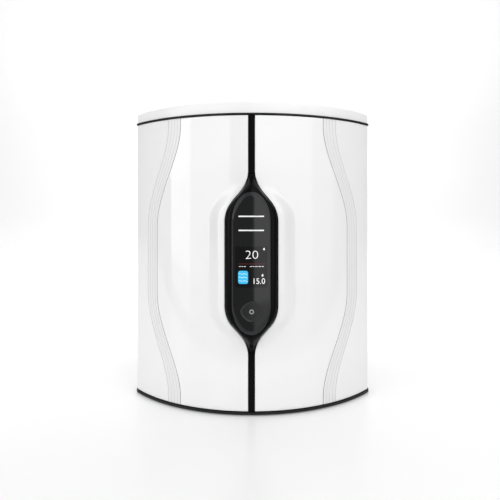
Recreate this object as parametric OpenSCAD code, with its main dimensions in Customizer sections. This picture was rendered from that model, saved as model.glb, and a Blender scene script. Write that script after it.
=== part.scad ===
// Lab water purification cabinet: a bowed front with two doors, a black centre strip and a control pod.
// Millimetres, +Z up. The front faces -Y and the origin lies on the floor under the middle of the cabinet.

/* [Cabinet] */
// Width over the black plates
cabinet_w = 370; // [364:1:384]
// Depth from the pod's face to the rear edge of the plates
cabinet_d = 340; // [334:1:370]
// Height of the doors
door_h = 418.5; // [412:0.5:450]
// Radius of the bowed front in plan
bow_r = 240; // [236:1:256]
// Radius of the door's hinged corner, which is round about the hinge axis
hinge_r = 9; // [8.5:0.5:11]
// How far the plates stand out beyond the doors and walls
plate_lip = 1.5; // [0.5:0.5:2.5]
// Radius of the rear corners
rear_r = 8; // [7.5:0.5:16]
// Wall of the side and rear panels
panel_wall = 3; // [2:0.5:4]
// Length of the rear panel's returns along the sides
rear_return = 20; // [14:1:30]

/* [Base and top] */
// Height of the rubber feet that shows
foot_show = 2; // [1:0.5:5]
// Radius of a rubber foot
foot_r = 14; // [10:1:18]
// Depth of the recess that holds a foot
foot_recess = 1; // [0.5:0.5:2]
// Thickness of the black base plate
base_plate_t = 3.5; // [3:0.5:6]
// Height of the raised floor above the base plate
floor_h = 6; // [4:0.5:8]
// Thickness of the black top plate
top_plate_t = 2; // [1.5:0.5:4]
// Height of the white cap at its middle
cap_h = 18; // [13:0.5:26]
// Radius of the cap's upper edge
cap_edge_r = 5; // [4:0.5:7.5]
// How much lower the cap is at its side edges than in the middle
cap_crown = 2.5; // [0:0.5:4]
// Wall of the cap
cap_wall = 3; // [2:0.5:3.5]

/* [Doors] */
// Wall of a door
door_wall = 3; // [2:0.25:3.5]
// Gap above and below a door
door_gap = 0.9; // [0.6:0.1:1.5]
// Gap between a door's free edge and the black strip or bezel
edge_gap = 0.8; // [0.6:0.1:1.2]
// Angle that the corner wraps past the side, in degrees
wrap_angle = 28; // [20:1:30]
// Angle that a door opens through, in degrees
open_angle = 100; // [90:1:100]
// Gap between the turning corner and the side panel
corner_gap = 0.8; // [0.6:0.1:1.2]
// Diameter of a hinge pin
pin_d = 6; // [5:0.5:6.5]
// Length of a hinge pin inside the rail
pin_reach = 10; // [8:0.5:14]
// Width of the rail's screw flange, as an angle of the bow
rail_flange_angle = 8; // [5:1:12]
// Width of the ribbon band, along the bow
ribbon_w = 22.3; // [14:0.1:26]
// Depth of the ribbon band
ribbon_depth = 0.3; // [0.2:0.05:0.6]
// Ribbon's inner edge at the door's ends, along the bow from the middle
ribbon_end_s = 108; // [100:1:120]
// Ribbon's inner edge at mid height, along the bow from the middle
ribbon_mid_s = 154; // [130:1:158]
// Height from the middle where the ribbon starts to wave in
ribbon_wave_from = 50; // [30:1:70]
// Height from the middle where the ribbon's wave ends
ribbon_wave_to = 198; // [160:1:200]

/* [Pod] */
// Width of the opening between the doors at the pod
pod_w = 74.8; // [70:0.2:80]
// Width of the opening between the doors along the strip
strip_w = 9.8; // [9:0.2:14]
// Height above the pod's middle where the flare's slope would leave the pod's side
flare_v = 75.4; // [70:0.2:82]
// Slope of the flare from the vertical, in degrees
flare_angle = 40; // [36:1:44]
// Radius of the flare's rounded corners
flare_r = 47; // [38:1:50]
// How far the pod's face stands out beyond the doors' bow
pod_proud = 18; // [15:0.5:20]
// How far the doors swell out at the pod's edge
blister_rise = 11; // [8:0.5:14]
// Width of the swelling
blister_w = 26; // [20:1:32]
// Width of the lens
lens_w = 54.2; // [50:0.2:55]
// Thickness of the lens
lens_t = 2.3; // [1.5:0.1:3]
// Height of the lens above the pod's middle
lens_top_v = 100.2; // [94:0.2:104]
// Depth of the lens below the pod's middle
lens_bottom_v = 97.2; // [92:0.2:99]
// Height of the arches at the lens's two ends
lens_arch_h = 42; // [36:1:50]
// Width of a light bar
bar_w = 35.4; // [24:0.2:42]
// Height of a light bar
bar_h = 1.9; // [1.5:0.1:4]
// Height of the upper light bar above the pod's middle
bar_upper_v = 66.4; // [60:0.2:72]
// Height of the lower light bar above the pod's middle
bar_lower_v = 47.1; // [36:0.2:52]
// Width of the display
display_w = 44.6; // [36:0.2:46]
// Height of the display
display_h = 56.6; // [44:0.2:58]
// Height of the display's middle above the pod's middle
display_v = -3.2; // [-6:0.2:4]
// Width of the button
button_w = 30; // [24:0.5:32]
// Height of the button
button_h = 28.5; // [20:0.5:30]
// Height of the button's middle above the pod's middle
button_v = -64.8; // [-68:0.2:-60]
// Travel of the button
button_travel = 1; // [0.6:0.1:1.4]

/* [Cartridges] */
// Gap between the centre column and an inner cartridge
column_gap = 8; // [6:0.1:10]
// Gap across the cabinet between the cartridges of a pair
pair_gap = 1.2; // [0:0.1:3]
// Gap between an outer cartridge and the side panel
side_gap = 17.3; // [16:0.1:19]
// Height of a cartridge's bottle
bottle_h = 305; // [240:1:310]
// Radius of the neck in its socket
neck_r = 20; // [17:0.5:20]
// Distance of the cartridges' axes behind the bow
cartridge_inset = 52; // [50:0.5:56]
// Half width of the centre column
spine_hw = 18; // [16:0.5:19]
// Number of grip flutes round a cartridge's head
flute_count = 12; // [8:1:16]

/* [Water parts] */
// Thickness of the bulkhead between the bays
bulkhead_t = 3; // [2:0.5:4]
// Gap between the outer cartridges and the bulkhead
bulkhead_gap = 8; // [6:0.5:10]
// Radius of the membrane vessel
vessel_r = 30; // [24:0.5:32]
// Length of the membrane vessel
vessel_h = 320; // [240:1:330]
// Radius of the lamp chamber
chamber_r = 22; // [16:0.5:24]
// Length of the lamp chamber
chamber_h = 270; // [200:1:290]
// Radius of the pump's head
pump_r = 34; // [32:0.5:36]
// Radius of the pump's motor
motor_r = 28; // [22:0.5:30]
// Height of the pump's motor
motor_h = 100; // [70:1:120]
// Number of impeller blades
blade_count = 6; // [4:1:8]
// Height of the pressure regulator above the ports
regulator_lift = 42; // [38:1:48]
// Height of the pressure regulator
regulator_h = 50; // [44:1:54]
// Radius of the pressure regulator
regulator_r = 17; // [14:0.5:18]
// Width of the inlet solenoid's coil
coil_w = 28; // [26:1:30]
// Height of the inlet solenoid's coil
coil_h = 22; // [21:1:26]
// Depth of the drain solenoid
drain_d = 20; // [18:1:20]
// Width of the drain solenoid
drain_w = 24; // [20:1:26]
// Height of the drain solenoid's body
drain_h = 32; // [30:1:34]
// Height of the drain solenoid's coil
drain_coil_h = 34; // [28:1:38]
// Width, length and height of a conductivity cell
cell_size = [20, 26, 18]; // [16:1:28]
// Length of the main board along the bay
main_board_l = 110; // [90:1:112]
// Height of the main board
main_board_h = 190; // [186:1:196]
// Height of a vessel clip
clip_h = 16; // [12:1:20]
// Diameter of the plastic water tubes
tube_d = 8; // [6:0.5:10]
// Bend radius of the tubes
tube_bend = 10; // [9:0.5:10]

/* [Connections] */
// Number of push-fit ports on the rear
port_count = 4; // [4:1:4]
// Distance between the ports
port_pitch = 45; // [42:1:45]
// Height of the ports above the base plate
port_z = 25; // [23:0.5:28]
// Travel of a release collet
collet_travel = 1; // [0.5:0.1:1.2]
// Wall mounting holes: distance between them, across and up
wall_hole_pitch = 240; // [200:5:260]
// Radius of a wall mounting hole
wall_hole_r = 3.3; // [2.5:0.1:4.5]

/* [Fits] */
// Radial clearance of a running fit
run_fit = 0.06; // [0.02:0.01:0.09]
// Clearance between pieces that are seated on each other
seat_gap = 0.3; // [0.2:0.05:0.4]
// Clearance of a tube in its port
tube_fit = 0.1; // [0.06:0.01:0.2]

/* [Hidden] */
$fn = 64;
eps = 0.01;
front_reach = 200;
magnet_v = 165;

// Heights, from the floor up
base_z0 = foot_show;
base_z1 = base_z0 + base_plate_t;
floor_z = base_z1 + floor_h;
door_z0 = base_z1 + door_gap;
door_z1 = door_z0 + door_h;
deck_z0 = door_z1 + door_gap;
deck_z1 = deck_z0 + top_plate_t;
cap_z1 = deck_z1 + cap_h;
wall_h = deck_z0 - base_z1;
bay_h = deck_z0 - floor_z;
pod_z = (base_z1 + deck_z0) / 2;

// Plan of the cabinet: the bow is round about bow_y, and the corners are round about the hinge axes
house_hw = cabinet_w / 2 - plate_lip;
house_rear_y = cabinet_d / 2 - plate_lip;
bow_y = bow_r - cabinet_d / 2 + pod_proud;
hinge_x = house_hw - hinge_r;
hinge_y = bow_y - sqrt(pow(bow_r - hinge_r, 2) - hinge_x * hinge_x);
corner_angle = atan2(hinge_y - bow_y, hinge_x);
corner_s = bow_r * (90 + corner_angle) * PI / 180;
inner_hw = house_hw - panel_wall;
return_y = house_rear_y - rear_return;
rear_inner_y = house_rear_y - panel_wall;

// Radii about the bow's centre
face_r = bow_r + pod_proud;
lens_back_r = face_r - lens_t;
rim_r = face_r - 1.4;
door_in_r = bow_r - door_wall;
strip_r = bow_r - edge_gap;
flange_r1 = door_in_r - 3;
flange_r0 = flange_r1 - 3;
spine_r = flange_r0 - seat_gap;
floor_r = flange_r0 - 1;
striker_r1 = door_in_r - seat_gap;
striker_r0 = striker_r1 - 1.7;

// Pod outline
pod_hw = pod_w / 2;
strip_hw = strip_w / 2;
flare_from = flare_v - flare_r * tan(flare_angle / 2);
flare_to = flare_v + (pod_hw - strip_hw) / tan(flare_angle) + flare_r * tan(flare_angle / 2);
pod_end_v = flare_to - 4;
swell_from_v = flare_v - 5;
swell_to_v = flare_to - 14;
lens_hw = lens_w / 2;
ledge_w = 2.5;

// Hinges
relief_r = hinge_r + corner_gap;
jamb_r = relief_r + 2.5;
pin_r = pin_d / 2;
rail_r = hinge_r - door_wall - 0.4;
bush_r = pin_r + run_fit + 1.14;
bush_flange_t = 1.5;
bush_play = 0.1;
rail_z0 = base_z1 + bush_play + bush_flange_t;
rail_z1 = deck_z0 - bush_play - bush_flange_t;
bush_depth = pin_reach + 3;
pin_boss_h = 8;

// Pod inside
board_t = 1.6;
board_back_y = bow_y - face_r + 14.6;
board_front_y = board_back_y - board_t;
display_front_y = bow_y - sqrt(pow(lens_back_r, 2) - pow(display_w / 2, 2)) + 0.4;
button_skirt_y = bow_y - sqrt(pow(lens_back_r, 2) - pow(button_w / 2 + 1.5, 2)) + 0.4;
button_skirt_t = 1.5;
button_bend = 1.25;
stem_end_y = board_front_y - 3 - button_travel - seat_gap;

// Cartridges: four share the width between the column and the side panels, and follow the bow
cartridge_r = (inner_hw - spine_hw - column_gap - pair_gap - side_gap) / 4;
cartridges_x = [spine_hw + column_gap + cartridge_r, inner_hw - side_gap - cartridge_r];
cartridge_at = [for (x = cartridges_x) [tenth(x), tenth(bow_at(x, bow_r - cartridge_inset))]];
rest_h = 1.2;
bottle_z0 = floor_z + rest_h + seat_gap;
bottle_z1 = bottle_z0 + bottle_h;
head_skirt_h = 20;
head_z1 = bottle_z1 + 8;
bottle_neck_r = cartridge_r - 4;
band_z = 34;
band_w = 10;
band_depth = 1.2;
socket_z0 = head_z1 + 8;
lug_z0 = socket_z0 + 7.6;
lug_h = 5.8;
lug_r = neck_r + 4.8;
neck_z1 = head_z1 + 38;
nozzle_r = 8;
nozzle_z1 = neck_z1 + 8;
manifold_z1 = nozzle_z1 + 16;
socket_r = neck_r + 11;
stub_r = tube_d / 2 + 1.5;
stub_z1 = manifold_z1 + 10;
bayonet_turn = 90;

// Rear bay
bulkhead_y = tenth(cartridge_at[1][1] + cartridge_r + bulkhead_gap);
bay_y = bulkhead_y + bulkhead_t;
tube_r = tube_d / 2;
over_z = stub_z1 + 10;
cross_z = over_z + tube_d + 2.5;
vessel_cap_r = vessel_r + 5;
vessel_at = [vessel_cap_r + 3 - inner_hw, bay_y + vessel_cap_r + 3];
vessel_z0 = floor_z + 14;
vessel_cap_h = 26;
chamber_at = [-cartridge_at[0][0], bay_y + 40];
chamber_z0 = floor_z + 68;
chamber_end_h = 12;
chamber_floor = 2;
pump_at = [cartridge_at[0][0] + 15, bay_y + pump_r + 26];
cradle_t = 4.2;
pump_z0 = floor_z + cradle_t;
volute_h = 24;
pump_cover_h = 10;
motor_z0 = pump_z0 + volute_h + pump_cover_h;
shaft_r = 4;
block_z = base_z1 + port_z;
water_z = block_z;
block_y1 = rear_inner_y - 7;
block_y0 = block_y1 - 12;
ports_x = [for (i = [0:port_count - 1]) cartridge_at[0][0] - port_pitch * (port_count - 1 - i)];
valve_y = block_y0 - 21;
solenoid_z0 = block_z + regulator_lift + regulator_h + seat_gap;
solenoid_neck = 8;
collet_r = tube_r + 1.5;
collet_in_y = block_y0 + 6;
fitting_r = tube_r + 5;
fitting_y1 = block_y1 + 5;
collet_flange_y = fitting_y1 + collet_travel + seat_gap;
power_at = [inner_hw - 60.5, block_z];
data_at = [inner_hw - 24.5, block_z];

// Shared functions

// A length rounded to a tenth of a millimetre
function tenth(x) = round(10 * x) / 10;

function smooth(t) = let (c = min(max(t, 0), 1)) c * c * (3 - 2 * c);

// Points of an arc; open leaves out the last one
function arc(c, r, a0, a1, n, open = false) =
    [for (i = [0:open ? n - 1 : n]) let (a = a0 + (a1 - a0) * i / n) c + r * [cos(a), sin(a)]];

// The plan of the closed cabinet, grown by a margin all round
function plan(grow, n = 36) = concat(
    arc([-hinge_x, hinge_y], hinge_r + grow, 180, 180 - corner_angle, 5, open = true),
    arc([0, bow_y], bow_r + grow, 180 - corner_angle, 360 + corner_angle, n, open = true),
    arc([hinge_x, hinge_y], hinge_r + grow, corner_angle, 0, 5),
    arc([house_hw - rear_r, house_rear_y - rear_r], rear_r + grow, 0, 90, 5),
    arc([rear_r - house_hw, house_rear_y - rear_r], rear_r + grow, 90, 180, 5));

// Half width of the opening between the doors at height v from the pod's middle, grown by a margin
function pod_half(v, grow = 0) =
    let (
        a = abs(v),
        r1 = flare_r + grow,
        r2 = flare_r - grow,
        v1 = flare_from + r1 * sin(flare_angle),
        v2 = flare_to - r2 * sin(flare_angle),
        x1 = pod_hw - flare_r + r1 * cos(flare_angle)
    )
    a <= flare_from ? pod_hw + grow
    : a <= v1 ? pod_hw - flare_r + sqrt(r1 * r1 - pow(a - flare_from, 2))
    : a < v2 ? x1 - (a - v1) * tan(flare_angle)
    : a < flare_to ? strip_hw + flare_r - sqrt(r2 * r2 - pow(flare_to - a, 2))
    : strip_hw + grow;

// How far the doors and the bezel's edge stand out beyond the bow at height v
function swell(v) = blister_rise * (1 - smooth((abs(v) - swell_from_v) / (swell_to_v - swell_from_v)));

// Height above or below the pod's middle where the lens's upper arch (end 1) or lower arch (end -1) starts
function shoulder_v(end) = (end > 0 ? lens_top_v : lens_bottom_v) - lens_arch_h;

// The point of the lens's outline at an angle round an arch: 0 at its shoulder and 90 at its tip
function lens_point(end, a, grow = 0) =
    [(lens_hw + grow) * cos(a), end * (shoulder_v(end) + (lens_arch_h + grow) * sin(a))];

// Y of a point on a radius about the bow's centre
function bow_at(x, r) = bow_y - sqrt(r * r - x * x);

// A closed solid through rings of points that lie above each other
module skin(rings) {
    n = len(rings[0]);
    m = len(rings);
    sides = [for (k = [0:m - 2], i = [0:n - 1])
        let (a = k * n + i, b = k * n + (i + 1) % n) each [[a, a + n, b], [b, a + n, b + n]]];
    polyhedron(
        points = [for (ring = rings) each ring],
        faces = concat(sides, [[for (i = [0:n - 1]) i], [for (i = [n - 1:-1:0]) (m - 1) * n + i]]),
        convexity = 8);
}

// A closed solid through rings that run round in a loop
module loop_skin(rings) {
    n = len(rings[0]);
    m = len(rings);
    polyhedron(
        points = [for (ring = rings) each ring],
        faces = [for (k = [0:m - 1], i = [0:n - 1])
            let (a = k * n + i, b = k * n + (i + 1) % n, c = ((k + 1) % m) * n)
            each [[a, b, c + i], [b, c + (i + 1) % n, c + i]]],
        convexity = 8);
}

// A curved wall between two grids of points with as many rows and columns
module wall_skin(outer, inner) {
    m = len(outer);
    n = len(outer[0]);
    far = m * n;
    both = [for (k = [0:m - 2], j = [0:n - 2]) let (a = k * n + j)
        each [[a, a + n, a + 1], [a + 1, a + n, a + n + 1],
            [far + a, far + a + 1, far + a + n], [far + a + 1, far + a + n + 1, far + a + n]]];
    edges = [for (k = [0:m - 2]) let (a = k * n, b = k * n + n - 1)
        each [[a, far + a, a + n], [a + n, far + a, far + a + n],
            [b, b + n, far + b], [b + n, far + b + n, far + b]]];
    ends = [for (j = [0:n - 2]) let (t = (m - 1) * n + j)
        each [[j, j + 1, far + j], [j + 1, far + j + 1, far + j],
            [t, far + t, t + 1], [t + 1, far + t, far + t + 1]]];
    polyhedron(
        points = concat([for (row = outer) each row], [for (row = inner) each row]),
        faces = concat(both, edges, ends),
        convexity = 8);
}

// A prism that runs back from the front, from an outline in X and Z
module front_prism(points, y0 = -front_reach, y1 = -eps) {
    translate([0, y1, 0]) rotate([90, 0, 0]) linear_extrude(y1 - y0) polygon(points);
}

// A round wall about the bow's centre
module bow_ring(r0, r1, z0, z1) {
    translate([0, bow_y, z0]) difference() {
        cylinder(r = r1, h = z1 - z0);
        translate([0, 0, -1]) cylinder(r = r0, h = z1 - z0 + 2);
    }
}

// A piece of a round wall about the bow's centre, between two angles from the front, to the right
module bow_sector(r0, r1, a0, a1, z0, z1) {
    translate([0, bow_y, z0]) rotate([0, 0, a0 - 90]) rotate_extrude(angle = a1 - a0)
        translate([r0, 0]) square([r1 - r0, z1 - z0]);
}

// A straight round rod between two points
module rod(a, b, r) {
    d = b - a;
    translate(a) rotate([0, acos(d[2] / norm(d)), atan2(d[1], d[0])]) cylinder(r = r, h = norm(d));
}

// A tube along square corners, each rounded by a quarter bend
module tube_run(path, r, bend) {
    last = len(path) - 1;
    steps = [for (i = [0:last - 1]) (path[i + 1] - path[i]) / norm(path[i + 1] - path[i])];
    for (i = [0:last - 1])
        rod(path[i] + (i > 0 ? bend : 0) * steps[i], path[i + 1] - (i < last - 1 ? bend : 0) * steps[i], r);
    for (i = [1:last - 1]) {
        x = -steps[i];
        y = steps[i - 1];
        z = cross(x, y);
        c = path[i] - bend * y - bend * x;
        multmatrix([[x[0], y[0], z[0], c[0]], [x[1], y[1], z[1], c[1]], [x[2], y[2], z[2], c[2]]])
            rotate_extrude(angle = 90) translate([bend, 0]) circle(r);
    }
}

module both_sides() {
    children();
    mirror([1, 0, 0]) children();
}

module hinge_axis(z = 0) {
    translate([hinge_x, hinge_y, z]) children();
}

// Cabinet

module base_tray() color([0.07, 0.07, 0.08]) difference() {
    union() {
        translate([0, 0, base_z0]) linear_extrude(base_plate_t) polygon(plan(plate_lip));
        translate([0, 0, base_z1 - eps]) linear_extrude(floor_h + eps) intersection() {
            translate([0, bow_y]) circle(floor_r, $fn = 180);
            polygon(plan(-panel_wall - seat_gap));
        }
        both_sides() for (p = cartridge_at) translate([p[0], p[1], floor_z - eps])
            cylinder(r = cartridge_r - 6, h = rest_h + eps);
    }
    both_sides() {
        hinge_axis(base_z1) cylinder(r = jamb_r + seat_gap, h = floor_h + 1);
        hinge_axis(base_z0 + 0.5) cylinder(r = pin_r + 0.02, h = base_plate_t);
        for (p = feet_at()) translate([p[0], p[1], base_z0 - 1])
            cylinder(r = foot_r + 0.1, h = foot_recess + 1);
        for (p = cartridge_at) translate([p[0], p[1], floor_z])
            cylinder(r = cartridge_r - 12, h = rest_h + 1);
    }
}

function feet_at() = [[hinge_x - 44, hinge_y - 12], [house_hw - 32, house_rear_y - 30]];

module rubber_feet() color([0.16, 0.16, 0.17])
    both_sides() for (p = feet_at()) translate([p[0], p[1], 0]) {
        cylinder(r1 = foot_r - 1, r2 = foot_r, h = 1);
        translate([0, 0, 1]) cylinder(r = foot_r, h = foot_show + foot_recess - 1);
    }

// A side panel, with a round jamb behind the turning corner; its front edge is cut back along the face
// of the fully open door
module side_panel() {
    jamb_turn = wrap_angle + open_angle + 5;
    face_turn = corner_angle + open_angle;
    clear_r = hinge_r + 0.4;
    lip_y = hinge_y + (clear_r - hinge_r * cos(face_turn)) / sin(face_turn);
    end_y = return_y - seat_gap;
    pivot = [hinge_x, hinge_y];
    section = concat(
        [[house_hw, end_y], [house_hw, lip_y]],
        arc(pivot, relief_r, face_turn - acos(clear_r / relief_r), jamb_turn, 20),
        arc(pivot, jamb_r, jamb_turn, acos((inner_hw - hinge_x) / jamb_r), 12),
        [[inner_hw, end_y]]);
    translate([0, 0, base_z1]) linear_extrude(wall_h) polygon(section);
}

module right_side_panel() color([0.93, 0.93, 0.94]) side_panel();

module left_side_panel() color([0.93, 0.93, 0.94]) mirror([1, 0, 0]) side_panel();

module rear_panel() color([0.93, 0.93, 0.94]) {
    corner = [house_hw - rear_r, house_rear_y - rear_r];
    far_corner = [-corner[0], corner[1]];
    in_r = rear_r - panel_wall;
    outer = concat([[house_hw, return_y]], arc(corner, rear_r, 0, 90, 8),
        arc(far_corner, rear_r, 90, 180, 8), [[-house_hw, return_y]]);
    inner = concat([[-inner_hw, return_y]], arc(far_corner, in_r, 180, 90, 8),
        arc(corner, in_r, 90, 0, 8), [[inner_hw, return_y]]);
    boss_r = wall_hole_r + 4;
    boss_l = 8;
    slot = [70, 4];
    slot_pitch = 9;
    difference() {
        union() {
            translate([0, 0, base_z1]) linear_extrude(wall_h) polygon(concat(outer, inner));
            for (x = [-1, 1], z = [-1, 1])
                translate([x * wall_hole_pitch / 2, rear_inner_y + eps, pod_z + z * wall_hole_pitch / 2])
                    rotate([90, 0, 0]) cylinder(r = boss_r, h = boss_l);
        }
        for (x = [-1, 1], z = [-1, 1])
            translate([x * wall_hole_pitch / 2, house_rear_y + 1, pod_z + z * wall_hole_pitch / 2])
                rotate([90, 0, 0]) cylinder(r = wall_hole_r, h = boss_l + panel_wall + 2);
        window = connection_box(seat_gap);
        translate([window[0], rear_inner_y - 1, window[2]]) cube([window[1] - window[0], panel_wall + 2,
            window[3] - window[2]]);
        socket_hole(power_at, power_size);
        socket_hole(data_at, data_size);
        for (side = [-1, 1], i = [0:7])
            translate([side * 70 - slot[0] / 2, rear_inner_y - 1, deck_z0 - 50 - i * slot_pitch])
                cube([slot[0], panel_wall + 2, slot[1]]);
    }
}

// Left, right, lower and upper edge of the connection block, grown by a margin
function connection_box(grow) = [ports_x[0] - 18 - grow, ports_x[port_count - 1] + 18 + grow,
    block_z - 16 - grow, block_z + 16 + grow];

power_size = [24, 24];
data_size = [16, 14];

module socket_hole(at, size) {
    translate([at[0] - size[0] / 2 - seat_gap, rear_inner_y - 1, at[1] - size[1] / 2 - seat_gap])
        cube([size[0] + 2 * seat_gap, panel_wall + 2, size[1] + 2 * seat_gap]);
}

module bulkhead() color([0.90, 0.91, 0.92]) difference() {
    hw = inner_hw - seat_gap;
    rib = [2, 6];
    union() {
        translate([-hw, bulkhead_y, floor_z]) cube([2 * hw, bulkhead_t, bay_h]);
        for (x = [-1, 1]) translate([x * (hw - rib[0] / 2) - rib[0] / 2, bulkhead_y - rib[1], floor_z])
            cube([rib[0], rib[1] + eps, bay_h]);
    }
    for (side = [-1, 1]) translate([side * cartridge_at[0][0], bulkhead_y - 1, over_z])
        rotate([-90, 0, 0]) cylinder(r = tube_r + 1.5, h = bulkhead_t + 2);
    translate([0, bulkhead_y - 1, pod_z]) rotate([-90, 0, 0]) cylinder(r = 9, h = bulkhead_t + 2);
}

module centre_spine() color([0.86, 0.87, 0.88]) difference() {
    intersection() {
        translate([0, bow_y, floor_z]) cylinder(r = spine_r, h = bay_h);
        difference() {
            translate([-spine_hw, -front_reach, floor_z])
                cube([2 * spine_hw, front_reach + bulkhead_y, bay_h]);
            intersection() {
                translate([0, bow_y, floor_z - 1]) cylinder(r = spine_r - 3, h = bay_h + 2);
                translate([3 - spine_hw, -front_reach, floor_z - 1])
                    cube([2 * spine_hw - 6, front_reach + bulkhead_y + 1, bay_h + 2]);
            }
        }
    }
    translate([0, -front_reach, pod_z]) rotate([-90, 0, 0])
        cylinder(r = 8, h = front_reach + bulkhead_y - 20);
    for (z = [-1, 0, 1]) translate([-spine_hw - 1, bulkhead_y - 90, pod_z + z * 130 - 30])
        cube([2 * spine_hw + 2, 50, 60]);
    translate([-spine_hw - 1, cartridge_at[1][1], cross_z]) rotate([0, 90, 0])
        cylinder(r = tube_r + 1.5, h = 2 * spine_hw + 2);
}

module top_deck() color([0.07, 0.07, 0.08]) difference() {
    union() {
        translate([0, 0, deck_z0]) linear_extrude(top_plate_t) polygon(plan(plate_lip));
        both_sides() hinge_axis(deck_z1 - eps) cylinder(r = hinge_r - cap_wall - 0.5, h = pin_boss_h + eps);
    }
    both_sides() hinge_axis(deck_z0 - 1) cylinder(r = pin_r + 0.02, h = top_plate_t + pin_boss_h);
}

module top_cap() color([0.95, 0.95, 0.96]) {
    rise = cap_h - cap_edge_r;
    dip = function (p, z) z - cap_crown * pow(abs(p[0]) / house_hw, 4) * (z - deck_z1) / cap_h;
    ring = function (grow, z) [for (p = plan(grow)) [p[0], p[1], dip(p, z)]];
    flat = function (grow, z) [for (p = plan(grow)) [p[0], p[1], z]];
    middle = [0, (house_rear_y + bow_y - bow_r) / 2];
    edge = plan(-cap_edge_r);
    drawn_in = function (k) [for (p = edge) let (q = middle + k * (p - middle)) [q[0], q[1], dip(q, cap_z1)]];
    under_z = cap_z1 - cap_crown - cap_wall;
    turns = [for (a = [0:18:90]) a];
    skin(concat(
        [flat(-cap_wall - 2, under_z), flat(-cap_wall, under_z - 2)],
        [flat(-cap_wall, deck_z1), flat(0, deck_z1)],
        [for (a = turns) ring(-cap_edge_r * (1 - cos(a)), deck_z1 + rise + cap_edge_r * sin(a))],
        [for (k = [0.8, 0.5, 0.2]) drawn_in(k)]));
}

// Centre strip and pod

// The outline of the opening between the doors from v0 to v1, grown by a margin
function pod_outline(v0, v1, grow, step = 5) =
    let (n = ceil((v1 - v0) / step), vs = [for (i = [0:n]) v0 + (v1 - v0) * i / n])
    concat([for (v = vs) [pod_half(v, grow), pod_z + v]],
        [for (i = [n:-1:0]) [-pod_half(vs[i], grow), pod_z + vs[i]]]);

flange_grow = 14;
post_r = 3;
board_v0 = -83;
board_v1 = 84;
board_hw = 21;

module centre_strip() color([0.06, 0.06, 0.07]) difference() {
    union() {
        intersection() {
            bow_ring(flange_r0, flange_r1, base_z1, deck_z0);
            front_prism(pod_outline(base_z1 - pod_z, deck_z0 - pod_z, flange_grow));
        }
        for (v = [[base_z1 - pod_z, -pod_end_v - seat_gap], [pod_end_v + seat_gap, deck_z0 - pod_z]])
            intersection() {
                bow_ring(flange_r1 - 1, strip_r, base_z1, deck_z0);
                front_prism(pod_outline(v[0], v[1], -edge_gap));
            }
        for (x = [-1, 1], v = [board_v0 + 6, board_v1 - 6]) {
            back_y = bow_at(x * (board_hw - 5), flange_r1) + 1;
            translate([x * (board_hw - 5), back_y, pod_z + v]) rotate([90, 0, 0])
                cylinder(r = post_r, h = back_y - board_back_y - seat_gap);
        }
    }
    both_sides() for (v = [-magnet_v, magnet_v]) magnet_at(v)
        cylinder(r = magnet_r + 0.05, h = 20, center = true);
    translate([0, -front_reach, pod_z]) rotate([-90, 0, 0]) cylinder(r = 8, h = front_reach);
}

magnet_r = 4;
magnet_angle = 3.2;

// Turns a child's Z axis to point out of the bow at a door magnet
module magnet_at(v) {
    r = (flange_r0 + flange_r1) / 2;
    translate([r * sin(magnet_angle), bow_y - r * cos(magnet_angle), pod_z + v])
        rotate([0, 0, magnet_angle]) rotate([90, 0, 0]) children();
}

module door_magnets() color([0.55, 0.56, 0.58])
    both_sides() for (v = [-magnet_v, magnet_v]) magnet_at(v) {
        reach = striker_r0 - seat_gap - (flange_r0 + flange_r1) / 2;
        translate([0, 0, -1]) cylinder(r = magnet_r, h = reach + 1);
    }

// The bezel falls steeply to the doors at the lens's sides, and runs out into the strip at its two ends
module pod_bezel() color([0.05, 0.05, 0.06]) {
    skirt = 2.5;
    foot_level = flange_r1 + seat_gap;
    last_turn = 88;
    turns = [for (i = [0:16]) last_turn * i / 16];
    section = function (end, a, side)
        let (
            v_out = end * (shoulder_v(end) + (pod_end_v - shoulder_v(end)) * a / last_turn),
            rim = lens_point(end, a, seat_gap),
            ledge = lens_point(end, a, -ledge_w),
            out = [pod_half(v_out, -edge_gap), v_out],
            edge_r = strip_r + swell(v_out),
            in_wall = out + skirt * (rim - out) / norm(rim - out),
            ramp = smooth((a - 55) / 30),
            lift = function (k) (1 - ramp) * sqrt(k * (2 - k)) + ramp * smooth(k),
            at = function (p, r) [side * p[0], bow_at(p[0], r), pod_z + p[1]],
            face = function (k) at(out + k * (rim - out), edge_r + (rim_r - edge_r) * lift(k))
        )
        concat(
            [at(out, foot_level)],
            [for (k = [0, 0.08, 0.3, 0.62, 1]) face(k)],
            [at(rim, lens_back_r - seat_gap), at(ledge, lens_back_r - seat_gap),
                at(ledge, lens_back_r - seat_gap - 2), at(in_wall, edge_r - skirt), at(in_wall, foot_level)]);
    loop_skin(concat(
        [for (i = [16:-1:0]) section(-1, turns[i], 1)],
        [for (a = turns) section(1, a, 1)],
        [for (i = [16:-1:0]) section(1, turns[i], -1)],
        [for (a = turns) section(-1, a, -1)]));
}

// The lens's outline, all round
function lens_outline(grow = 0) =
    let (n = 23,
        low = [for (i = [n:-1:0]) lens_point(-1, 90 * i / n, grow)],
        top = [for (i = [0:n]) lens_point(1, 90 * i / n, grow)],
        right = concat(low, top))
    concat([for (p = right) [p[0], pod_z + p[1]]],
        [for (i = [len(right) - 2:-1:1]) [-right[i][0], pod_z + right[i][1]]]);

// A rounded diamond
function diamond(w, h, n = 48) = [for (i = [0:n - 1]) let (a = 360 * i / n, c = cos(a), s = sin(a))
    [w / 2 * sign(c) * pow(abs(c), button_bend),
        pod_z + button_v + h / 2 * sign(s) * pow(abs(s), button_bend)]];

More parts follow.
